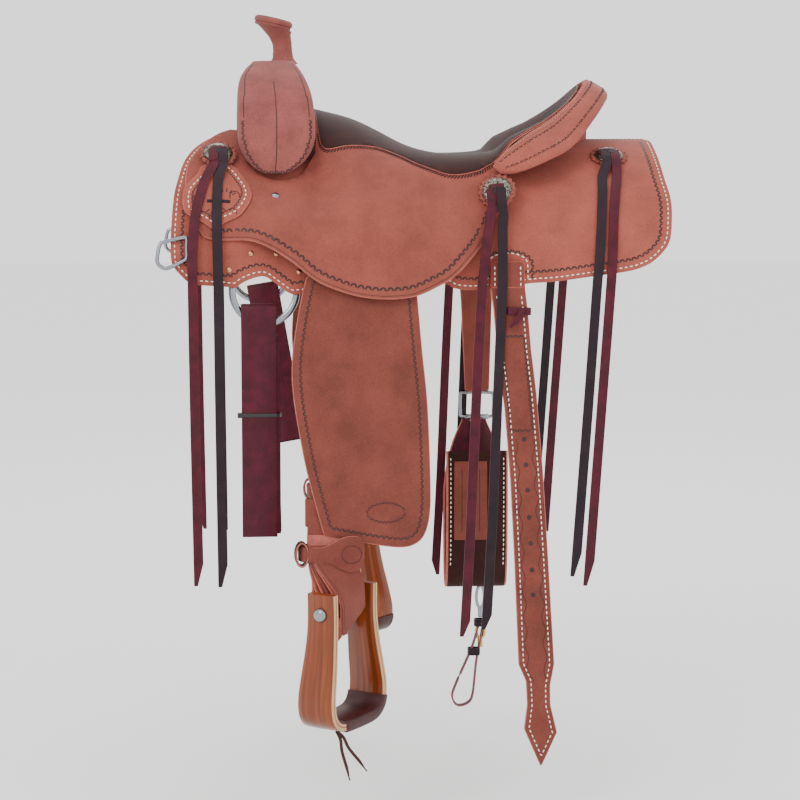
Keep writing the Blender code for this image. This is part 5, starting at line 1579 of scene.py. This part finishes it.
class SADDLE_OT_fenders(bpy.types.Operator):
    """Fenders, stirrup leathers and hobble straps"""
    bl_idname = "saddle.fenders"
    bl_label = "Fenders"

    def execute(self, context):
        sizes = context.scene.saddle_sizes
        outline = FENDER_NECK + spline(FENDER_RIGHT, 8)[1:] + spline(FENDER_LEFT, 8)
        outline += FENDER_LEFT_NECK[1:]
        outline = [(x, down_to(z, LEATHER_IN + LEATHER_THICK)) for x, z in outline]
        low = LEATHER_IN + LEATHER_THICK + 0.0012
        for side, word in SIDES:
            body = word + "_fender"
            place = skin(low, low + FENDER_THICK, side, CREST_MIDDLE)
            finish("fender_%s_leather" % word, plate(outline, place, sizes.panel_cell, 0.0014),
                   "worn_hide", body, ("fender_" + word,))
            dense = spaced(outline, OUTLINE_STEP, True)
            line = clear_of(inset(dense, 0.0140), dense, 0.0140)
            line = [p for p in line if p[1] > down_to(-0.13, low)]
            stamp("fender_%s_border" % word, line, place, body=body, size=0.9)
            x, s = OVAL_AT[0], down_to(OVAL_AT[1], low)
            oval = ellipse(x, s, 0.0255, 0.0125, 36)
            stamp("fender_%s_oval" % word, oval, place, closed=True, body=body, size=0.62)
            self.leathers(side, word, body)
            self.hobble(side, word, body)
        return {"FINISHED"}

    def leathers(self, side, word, body):
        """The main leather, then the turned layers beside the stirrup's bolt."""
        heights = [-0.036 - 0.011 * k for k in range(51)]
        rings = []
        for z in heights:
            centre, across, out = leather_centre(z, side)
            half = 0.033 if z > -0.36 else 0.031
            rings.append([centre + across * u * 2 * half + out * v * LEATHER_THICK
                          for u, v in STRAP_SECTION])
        finish("stirrup_leather_%s_main" % word, loft(rings), "worn_hide", body,
               ("stirrup_leather_" + word,))
        for k, (high, top, low, wide) in enumerate(((-0.0300, -0.535, -0.646, 0.066),
                                                    (-0.0190, -0.480, -0.622, 0.064),
                                                    (-0.0090, -0.470, -0.610, 0.064),
                                                    (0.0095, -0.490, -0.605, 0.062))):
            rings = []
            for j in range(25):
                share = j / 24
                z = top + (low - top) * share
                centre, across, out = leather_centre(z, side)
                bow = high * (0.45 + 0.55 * ease(share * 2.2)) * (1 - 0.35 * ease(share * 3 - 2))
                end = max(1 - (max(share - 0.9, 0) * 10) ** 2, 0.2) ** 0.5
                rings.append([centre + out * bow + across * u * wide * end + out * v * 0.0042
                              for u, v in STRAP_SECTION])
            finish("stirrup_leather_%s_layer_%d" % (word, k), loft(rings), "cut_edge", body)

        def tail(u, v, t):
            centre, across, out = leather_centre(v, side)
            return centre + across * u + out * (0.0148 + 0.0040 * t)

        outline = [(-0.031, -0.500), (0.031, -0.500), (0.031, -0.594), (0.020, -0.602),
                   (0.0, -0.612), (-0.024, -0.626), (-0.031, -0.626)]
        finish("fender_tail_%s_leather" % word, plate(outline, tail, 0.008, 0.0012), "worn_hide",
               body)
        crease = [(-0.0255, -0.520 - 0.004 * k) for k in range(25)]
        ribbon("fender_tail_%s_crease" % word, crease, tail, 0.0010, body)
        centre, across, out = leather_centre(-0.460, side)
        finish("leather_keeper_%s_band" % word, band(centre - out * 0.002, across, out, 0.0345,
                                                     0.0042, 0.040, 0.0020), "worn_hide", body)

    def hobble(self, side, word, body):
        """The strap round the leathers, its wide tab and its dark loop."""
        centre, across, out = leather_centre(-0.516, side)
        centre = Vector((-0.1030, side * 0.2938, -0.5145))
        finish("hobble_strap_%s_band" % word, band(centre, across, out, 0.0440, 0.0150, 0.0210,
                                                   0.0030), "worn_hide", body,
               ("hobble_strap_" + word,))

        def tab(u, v, t):
            bow = 0.0195 - 0.004 * (u / 0.03) ** 2 * (u < 0)
            return centre + across * u + Vector((0, 0, v)) + out * (bow + 0.0038 * t)

        outline = spline(mm((-34, 10.5), (-18, 11.5), (-4, 16), (10, 24), (24, 27), (38, 25),
                            (44, 16), (44.5, 0), (44, -12), (38, -23), (24, -26), (10, -22),
                            (-4, -14), (-18, -10.5), (-34, -10.5)), 4, closed=True)
        finish("hobble_tab_%s_leather" % word, plate(outline, tab, 0.008, 0.0014), "worn_hide",
               body)
        oval = ellipse(0.0260, 0.0, 0.0140, 0.0125, 30)
        ribbon("hobble_tab_%s_oval" % word, oval, tab, 0.0011, body, closed=True)
        loop = [centre + across * u + Vector((0, 0, v)) + out * 0.010
                for u, v in ellipse(-0.0430, 0.0, 0.0085, 0.0165, 16)]
        middle = sum(loop, Vector()) / len(loop)
        bm = strap(loop, 0.013, 0.0034, lambda p: p - middle, closed=True)
        finish("hobble_loop_%s_leather" % word, bm, "dark_string", body,
               extra=("cut_edge",))


# Half outline of the bow from its top to the middle of the tread: out from the middle, down
BOW_LINE = mm((47.5, 0), (46.5, 30), (48, 60), (53, 95), (60, 130), (63, 152), (60, 170),
              (50, 180), (34, 184), (0, 185))
BOW_WIDE = mm((0, 44), (60, 46), (120, 54), (150, 57), (200, 58))
BOW_THICK = 0.0105
BOW_TOP = -0.563
BOLT_REACH = 0.095 / 2 + BOW_THICK
LACE_WIDTH = 0.0045
BOW_SECTION = ((-0.96, 0), (0.96, 0), (1, 0.08), (1, 0.40), (1, 0.56), (1, 0.92), (0.96, 1),
               (0.5, 1.06), (0, 1.08), (-0.5, 1.06), (-0.96, 1), (-1, 0.92), (-1, 0.56),
               (-1, 0.40), (-1, 0.08))
BOLT_HEAD = mm((0, 7.2), (4.0, 7.0), (7.5, 5.5), (9.5, 3.0), (9.8, 1.0), (9.8, 0.5), (4.5, 0.4))
# Faces of the bow's section that show its plies
PALE_FACES = (1, 2, 4, 5, 10, 11, 13, 14)


def bow_axis(side):
    """The way the stirrup's bolt runs."""
    return Vector((cos(STIRRUP_TURN), -side * sin(STIRRUP_TURN), 0))


def bow_stations(side):
    """Along the bow: its middle line, outward way, half width and drop from the top."""
    axis = bow_axis(side)
    depth = Vector((0, 0, 1)).cross(axis)
    half = spline(BOW_LINE, 5)
    line = [(-x, z) for x, z in half] + list(reversed(half))[1:]
    out = []
    for k, (x, drop) in enumerate(line):
        before, after = line[max(k - 1, 0)], line[min(k + 1, len(line) - 1)]
        run = Vector((after[0] - before[0], 0, -(after[1] - before[1]))).normalized()
        away = axis * run.z + Vector((0, 0, -run.x))
        place = Vector((BOLT[0], side * BOLT[1], BOW_TOP - drop)) + axis * x
        out.append((place, away, depth, along(BOW_WIDE, drop) / 2, drop))
    return out


class SADDLE_OT_stirrups(bpy.types.Operator):
    """Laminated wooden stirrups with their bolts, treads and lace tails"""
    bl_idname = "saddle.stirrups"
    bl_label = "Stirrups"

    def execute(self, context):
        steps = context.scene.saddle_sizes.ring_steps // 2
        for side, word in SIDES:
            body = word + "_stirrup"
            stations = bow_stations(side)
            rings = [[p + depth * f * half + away * BOW_THICK * h for f, h in BOW_SECTION]
                     for p, away, depth, half, drop in stations]
            bm = loft(rings)
            bm.faces.ensure_lookup_table()
            count = len(BOW_SECTION)
            for k, face in enumerate(bm.faces):
                if k < (len(rings) - 1) * count and k % count in PALE_FACES:
                    face.material_index = 1
            self.unroll(bm, rings)
            finish("stirrup_bow_%s_wood" % word, bm, "bow_wood", body, ("stirrup_bow_" + word,),
                   extra=("bow_plies",))
            rings = []
            for p, away, depth, half, drop in stations:
                if drop < 0.160:
                    continue
                bare = (p.y * side > BOLT[1] + 0.004) and drop < 0.1835
                wide = half * (0.985 if bare else 1.045)
                outer = BOW_THICK * (0.3 if bare else 1)
                rings.append([p + depth * f * wide + away * h
                              for f, h in ((-1, -0.0008), (-0.94, -0.0030), (0, -0.0036),
                                           (0.94, -0.0030), (1, -0.0008), (1, outer),
                                           (0.94, outer + 0.0022), (0, outer + 0.0026),
                                           (-0.94, outer + 0.0022), (-1, outer))])
            finish("stirrup_tread_%s_leather" % word, loft(rings), "tread", body,
                   ("stirrup_tread_" + word,))
            axis = bow_axis(side)
            half = [(r, BOLT_REACH + h) for r, h in BOLT_HEAD] + [(0.0045, 0)]
            profile = half + [(r, -h) for r, h in reversed(half)][1:]
            bolt = turned(profile, steps, aimed((BOLT[0], side * BOLT[1], BOLT[2]), axis))
            finish("stirrup_bolt_%s_steel" % word, bolt, "steel", word + "_fender",
                   ("stirrup_bolt_" + word,))
            self.laces(side, word, body, stations)
        return {"FINISHED"}

    def unroll(self, bm, rings):
        """A UV map in metres: along the bow, and round its section."""
        layer = bm.loops.layers.uv.new("UVMap")
        bm.verts.index_update()
        count = len(rings[0])
        along_bow = [0.0]
        for a, b in zip(rings, rings[1:]):
            along_bow.append(along_bow[-1] + (b[3] - a[3]).length)
        middle = rings[len(rings) // 2]
        round_it = [0.0]
        for k in range(count):
            round_it.append(round_it[-1] + (middle[(k + 1) % count] - middle[k]).length)
        for face in bm.faces:
            last = any(loop.vert.index % count == count - 1 for loop in face.loops)
            for loop in face.loops:
                ring, k = divmod(loop.vert.index, count)
                if k == 0 and last:
                    k = count
                loop[layer].uv = (along_bow[ring], round_it[k])

    def laces(self, side, word, body, stations):
        """Two short lace tails below the tread."""
        p, _, depth, half, _ = stations[len(stations) // 2]
        axis = bow_axis(side)
        knot = p - axis * 0.032 - depth * half * 0.3 * (1 if side < 0 else -1)
        knot += Vector((0, 0, -0.0128))
        for k, (x, z) in enumerate(((0.020, -0.070), (0.044, -0.057))):
            middle = knot + Vector((x * 0.42, side * 0.004, z * 0.45))
            end = knot + Vector((x, side * 0.004, z))
            route = smooth_route([knot, knot.lerp(middle, 0.45) + Vector((0.002, 0, 0.002)),
                                  middle, end], 6)
            bm = strap(route, LACE_WIDTH, 0.0022, lambda p: Vector((0.3, side, 0)), slant=0.016)
            piece = finish("tread_lace_%s_%s" % (word, "ab"[k]), bm, "tread", body,
                           extra=("cut_edge",))
            hang(route, body)


# Flank billets, cinch and connector
FLANK_LEFT = mm((128.5, -149), (132.8, -179), (138.4, -238), (149.6, -321.7), (158.4, -425.5),
                (164.8, -540.8), (172, -696.6), (183, -722), (185, -757), (180.7, -793),
                (206.2, -851.5))
FLANK_RIGHT = mm((229.7, -799), (219.6, -757), (219, -729), (224.8, -696.6), (214.7, -540.8),
                 (205.9, -411.1), (195.9, -300), (187.9, -238), (182.5, -179), (178.5, -149))
BILLET_Y = 0.2257
BEND_Z = -0.1490
OFF_FLANK_END = -0.3474
BILLET_HOLES = (-0.366, -0.403, -0.440, -0.480, -0.518, -0.557, -0.594)
BILLET_TOP = -0.1468
FLANK_PANEL = mm((146, -219), (175.5, -219), (189, -352), (160.5, -352))
CINCH_X = (0.105, 0.205)
CINCH_THICK = 0.006
# The cinch's hanging loop, seen end on: out from the centre plane and height
CINCH_LINE = mm((225.7, -393.1), (226, -430), (227, -520), (224, -600), (215, -645), (199, -664),
                (181, -650), (173, -610), (171, -540), (173, -470), (178, -440))
BUCKLE = mm((138, -350.5), (182, -350.5), (187, -356), (187, -381), (182, -390), (138, -390),
            (133, -381), (133, -356))
CONNECTOR = mm((160, -667.7), (160, -735), (150, -770), (124, -830), (118, -852), (127, -866),
               (144, -862), (152, -846), (158, -790), (168, -735), (168, -667.7))
CONNECTOR_Y = 0.199


def upright(y_in, y_out, side):
    """Places a panel in an upright plane: u is x and v is z."""
    def place(u, v, t):
        return Vector((u, side * (y_in + (y_out - y_in) * t), v))
    return place


class SADDLE_OT_flank(bpy.types.Operator):
    """Flank billets, cinch, buckle and connector"""
    bl_idname = "saddle.flank"
    bl_label = "Flank rigging"

    def execute(self, context):
        self.near_billet()
        place = upright(BILLET_Y - 0.003, BILLET_Y + 0.003, 1)
        outline = [(0.1285, BILLET_TOP), (0.133, -0.200), (0.140, OFF_FLANK_END),
                   (0.180, OFF_FLANK_END), (0.184, -0.200), (0.1785, BILLET_TOP)]
        finish("flank_billet_off_leather", plate(outline, place, 0.012, 0.0014), "worn_hide",
               "off_flank_billet", ("flank_billet_off",))
        for x in (0.0065, -0.0065):
            edge = outline[0:3] if x > 0 else outline[3:6][::-1]
            sew("flank_billet_off_stitching_%s" % ("left" if x > 0 else "right"),
                [(p[0] + x, p[1]) for p in edge], place, body="off_flank_billet")
        for side, word in SIDES:
            self.chape(side, word)
        self.buckle()
        self.cinch()
        self.connector()
        return {"FINISHED"}

    def near_billet(self):
        place = upright(BILLET_Y - 0.003, BILLET_Y + 0.003, -1)
        body = "near_flank_billet"
        outline = [(FLANK_LEFT[0][0], BILLET_TOP)] + FLANK_LEFT + FLANK_RIGHT
        outline.append((FLANK_RIGHT[-1][0], BILLET_TOP))
        finish("flank_billet_near_leather", plate(outline, place, 0.012, 0.0014), "worn_hide",
               body, ("flank_billet_near",))
        dense = spaced(outline, OUTLINE_STEP, True)
        line = [p for p in clear_of(inset(dense, 0.0072), dense, 0.0072) if p[1] < -0.1565]
        sew("flank_billet_near_stitching", line, place, body=body)
        stamp("flank_billet_near_panel", FLANK_PANEL, place, closed=True, body=body, size=0.85)
        for side, share in (("left", 0.25), ("right", 0.75)):
            wave = []
            for k in range(140):
                z = -0.365 - 0.0026 * k
                x0, x1 = self.edges(z)
                wave.append((x0 + (x1 - x0) * share + 0.0024 * sin(k * 0.42), z))
            ribbon("flank_billet_near_wave_" + side, wave, place, 0.0011, body)
        holes = [aimed(place(sum(self.edges(z)) / 2, z, 1.0), (0, -1, 0)) for z in BILLET_HOLES]
        scatter("flank_billet_near_holes", hole_form(0.0030), holes, "tooled", body)
        centre = Vector((0.1690, -BILLET_Y, -0.1815))
        finish("billet_lace_keeper", band(centre, (1, 0, -0.03), (0, -1, 0), 0.0155, 0.0042,
                                          0.0105, 0.0028), "latigo", body)
        route = [centre + Vector((0.004, -0.0085, 0.004)), centre
                 + Vector((0.001, -0.0095, -0.006)), centre + Vector((-0.006, -0.0085, -0.017)),
                 centre + Vector((-0.010, -0.007, -0.024))]
        bm = strap(smooth_route(route, 5), 0.0085, 0.0026, lambda p: Vector((0, -1, 0)),
                   slant=0.010)
        finish("billet_lace_tail", bm, "latigo", body, extra=("latigo_edge",))

    def edges(self, z):
        left = along([(-p[1], p[0]) for p in FLANK_LEFT[:-2]], -z)
        right = along([(-p[1], p[0]) for p in reversed(FLANK_RIGHT)][:-1], -z)
        return left, right

    def chape(self, side, word):
        slot = down_to(-0.1120)
        lip = down_to(BEND_Z + 0.0004, 0.0008)
        place = skin(0.0008, 0.0068, side, CREST_MIDDLE)
        x0, x1 = FLANK_LEFT[0][0], FLANK_RIGHT[-1][0]
        outline = [(x0, lip), (x0, slot + 0.004), (x0 + 0.004, slot), (x1 - 0.004, slot),
                   (x1, slot + 0.004), (x1, lip)]
        finish("billet_chape_%s_leather" % word, plate(outline, place, 0.010, 0.0014), "worn_hide",
               replaces=("billet_chape_" + word,))
        for x in (x0 + 0.0065, x1 - 0.0065):
            sew("billet_chape_%s_stitching_%02d" % (word, round(x * 100)),
                [(x, slot + 0.006), (x, lip)], place)

    def buckle(self):
        y = BILLET_Y
        points = [Vector((x, y, z)) for x, z in spline(BUCKLE, 4, closed=True)]
        finish("flank_buckle_frame", pipe(points, 0.0028, closed=True), "steel",
               "off_flank_billet", ("flank_buckle",))
        roller = turned(mm((0, -19), (4.2, -19), (4.6, -18), (4.6, 18), (4.2, 19), (0, 19)), 24,
                        aimed((0.160, y, -0.390), (1, 0, 0)))
        finish("flank_buckle_roller", roller, "steel", "off_flank_billet")
        tongue = [Vector((0.160, y + 0.0035, z)) for z in (-0.353, -0.365, -0.378, -0.392)]
        finish("flank_buckle_tongue", pipe(tongue, 0.0020), "steel", "off_flank_billet")

    def cinch(self):
        line = smooth_route([(0, y, z) for y, z in CINCH_LINE], 6)
        n = len(line)

        def place(u, v, t):
            """u across from 0 to 1 and v along the loop from 0 to 1."""
            k = min(max(v, 0.0), 0.9999) * (n - 1)
            low = int(k)
            p = line[low].lerp(line[low + 1], k - low)
            run = (line[low + 1] - line[low]).normalized()
            out = Vector((0, -run.z, run.y))
            narrow = 0.030 * (1 - ease(v * 5)) if v < 0.2 else 0.0
            x = CINCH_X[0] + narrow + (CINCH_X[1] - CINCH_X[0] - 2 * narrow) * u
            return Vector((x, p.y, p.z)) + out * CINCH_THICK * (t - 0.5)

        rings = []
        for k in range(n):
            v = k / (n - 1)
            rings.append([place(0.5 + u, v, 0.5 + w) for u, w in STRAP_SECTION])
        bm = loft(rings)
        bm.faces.ensure_lookup_table()
        for k, face in enumerate(bm.faces):
            if k < (n - 1) * 8 and k % 8 in (2, 3, 4, 6, 7, 0):
                face.material_index = 1
            if k < (n - 1) * 8 and k % 8 == 1:
                face.material_index = 2
        finish("flank_cinch_leather", bm, "seat_hide", "cinch", ("flank_cinch",),
               extra=("cut_edge", "latigo"))
        leg = ((-0.664, 0.199), (-0.650, 0.181), (-0.610, 0.173), (-0.540, 0.171), (-0.470, 0.173),
               (-0.440, 0.178))

        def face(u, v, t):
            """The inner leg's side towards the horse: u is x and v is z."""
            return Vector((u, along(leg, v) - CINCH_THICK / 2 - 0.0022 * t, v))

        patch = mm((117, -455), (171.6, -455), (171.6, -585), (117, -585))
        finish("cinch_patch", plate(patch, face, 0.010, 0.0008), "worn_hide", "cinch")
        for u in (0.130, 0.1585):
            ribbon("cinch_patch_line_%03d" % round(u * 1000), [(u, -0.468), (u, -0.572)], face,
                   0.0016, "cinch")

        def flat(u, v, t):
            return face(u, v, 0.0)

        for label, u in (("left", 0.112), ("right", 0.198)):
            sew("cinch_stitching_" + label, [(u, -0.628), (u, -0.452)], flat, body="cinch")
        chape = upright(BILLET_Y - 0.0085, BILLET_Y - 0.0050, 1)
        tip = mm((148, -392), (172, -392), (172, -424), (166, -434), (160, -437), (154, -434),
                 (148, -424))
        finish("buckle_chape", plate(tip, chape, 0.008, 0.0010), "latigo", "cinch")
        sew("buckle_chape_stitching", inset(spaced(tip, OUTLINE_STEP, True), 0.004), chape,
            closed=True, body="cinch")
        head = turned(mm((0, 2.2), (2.4, 1.8), (4.0, 0.8), (4.4, 0), (0, 0)), 24,
                      aimed(chape(0.160, -0.412, 1.0) - Vector((0, 0.0035, 0)), (0, -1, 0)))
        finish("buckle_chape_rivet", head, "copper", "cinch")

    def connector(self):
        """Snap, strap with keepers and drop-shaped loop."""
        y = CONNECTOR_Y
        route = smooth_route([(x, y, z) for x, z in CONNECTOR[1:-1]], 6)
        middle = Vector((0.137, y, -0.80))
        bm = strap(route, 0.0095, 0.0030, lambda p: p - middle)
        finish("connector_strap_loop", bm, "dark_string", "connector", ("cinch_connector",),
               extra=("latigo_edge",))
        for k, (x, z, wide) in enumerate(((0.1635, -0.7275, 0.0080), (0.1535, -0.7757, 0.0085))):
            finish("connector_keeper_%d" % k, band(Vector((x, y, z)), (1, 0, 0), (0, 1, 0), wide,
                                                   0.0065, 0.012, 0.0020), "dark_string",
                   "connector")
        for name, z, high, look in (("steel", -0.6850, 0.0185, "steel"),
                                    ("brass", -0.7430, 0.0110, "brass")):
            oval = [Vector((u, y, v)) for u, v in ellipse(0.1640, z, 0.0065, high, 16)]
            finish("connector_snap_" + name, pipe(oval, 0.0026, closed=True), look, "connector")
            barrel = turned(mm((0, -9), (3.6, -9), (4.2, -7), (4.2, 7), (3.6, 9), (0, 9)), 20,
                            aimed((0.1640, y, z - high - 0.006), (0, 0, 1)))
            finish("connector_swivel_" + name, barrel, look, "connector")


class SADDLE_PT_panel(bpy.types.Panel):
    """Sizes, colours and a button for each piece"""
    bl_label = "Saddle"
    bl_idname = "SADDLE_PT_panel"
    bl_space_type = "VIEW_3D"
    bl_region_type = "UI"
    bl_category = "Saddle"

    def draw(self, context):
        column = self.layout.column()
        for group in (context.scene.saddle_sizes, context.scene.saddle_colours):
            for name in group.__annotations__:
                column.prop(group, name)
        for cls in OPERATORS:
            column.operator(cls.bl_idname, text=cls.bl_label)


# In the order of making: the camera and the cords come first
OPERATORS = (SADDLE_OT_stage, SADDLE_OT_strings, SADDLE_OT_stirrups, SADDLE_OT_skirts,
             SADDLE_OT_fleeces, SADDLE_OT_seat, SADDLE_OT_cantle, SADDLE_OT_fork, SADDLE_OT_horn,
             SADDLE_OT_keepers, SADDLE_OT_rigging, SADDLE_OT_conchos, SADDLE_OT_latigo,
             SADDLE_OT_fenders, SADDLE_OT_flank)
CLASSES = (SaddleSizes, SaddleColours, *OPERATORS, SADDLE_PT_panel)


def register():
    for cls in CLASSES:
        bpy.utils.register_class(cls)
    bpy.types.Scene.saddle_sizes = PointerProperty(type=SaddleSizes)
    bpy.types.Scene.saddle_colours = PointerProperty(type=SaddleColours)


def unregister():
    del bpy.types.Scene.saddle_colours
    del bpy.types.Scene.saddle_sizes
    for cls in reversed(CLASSES):
        bpy.utils.unregister_class(cls)


def main():
    register()
    for cls in OPERATORS:
        getattr(bpy.ops.saddle, cls.bl_idname.split(".")[1])()


if __name__ == "__main__":
    main()
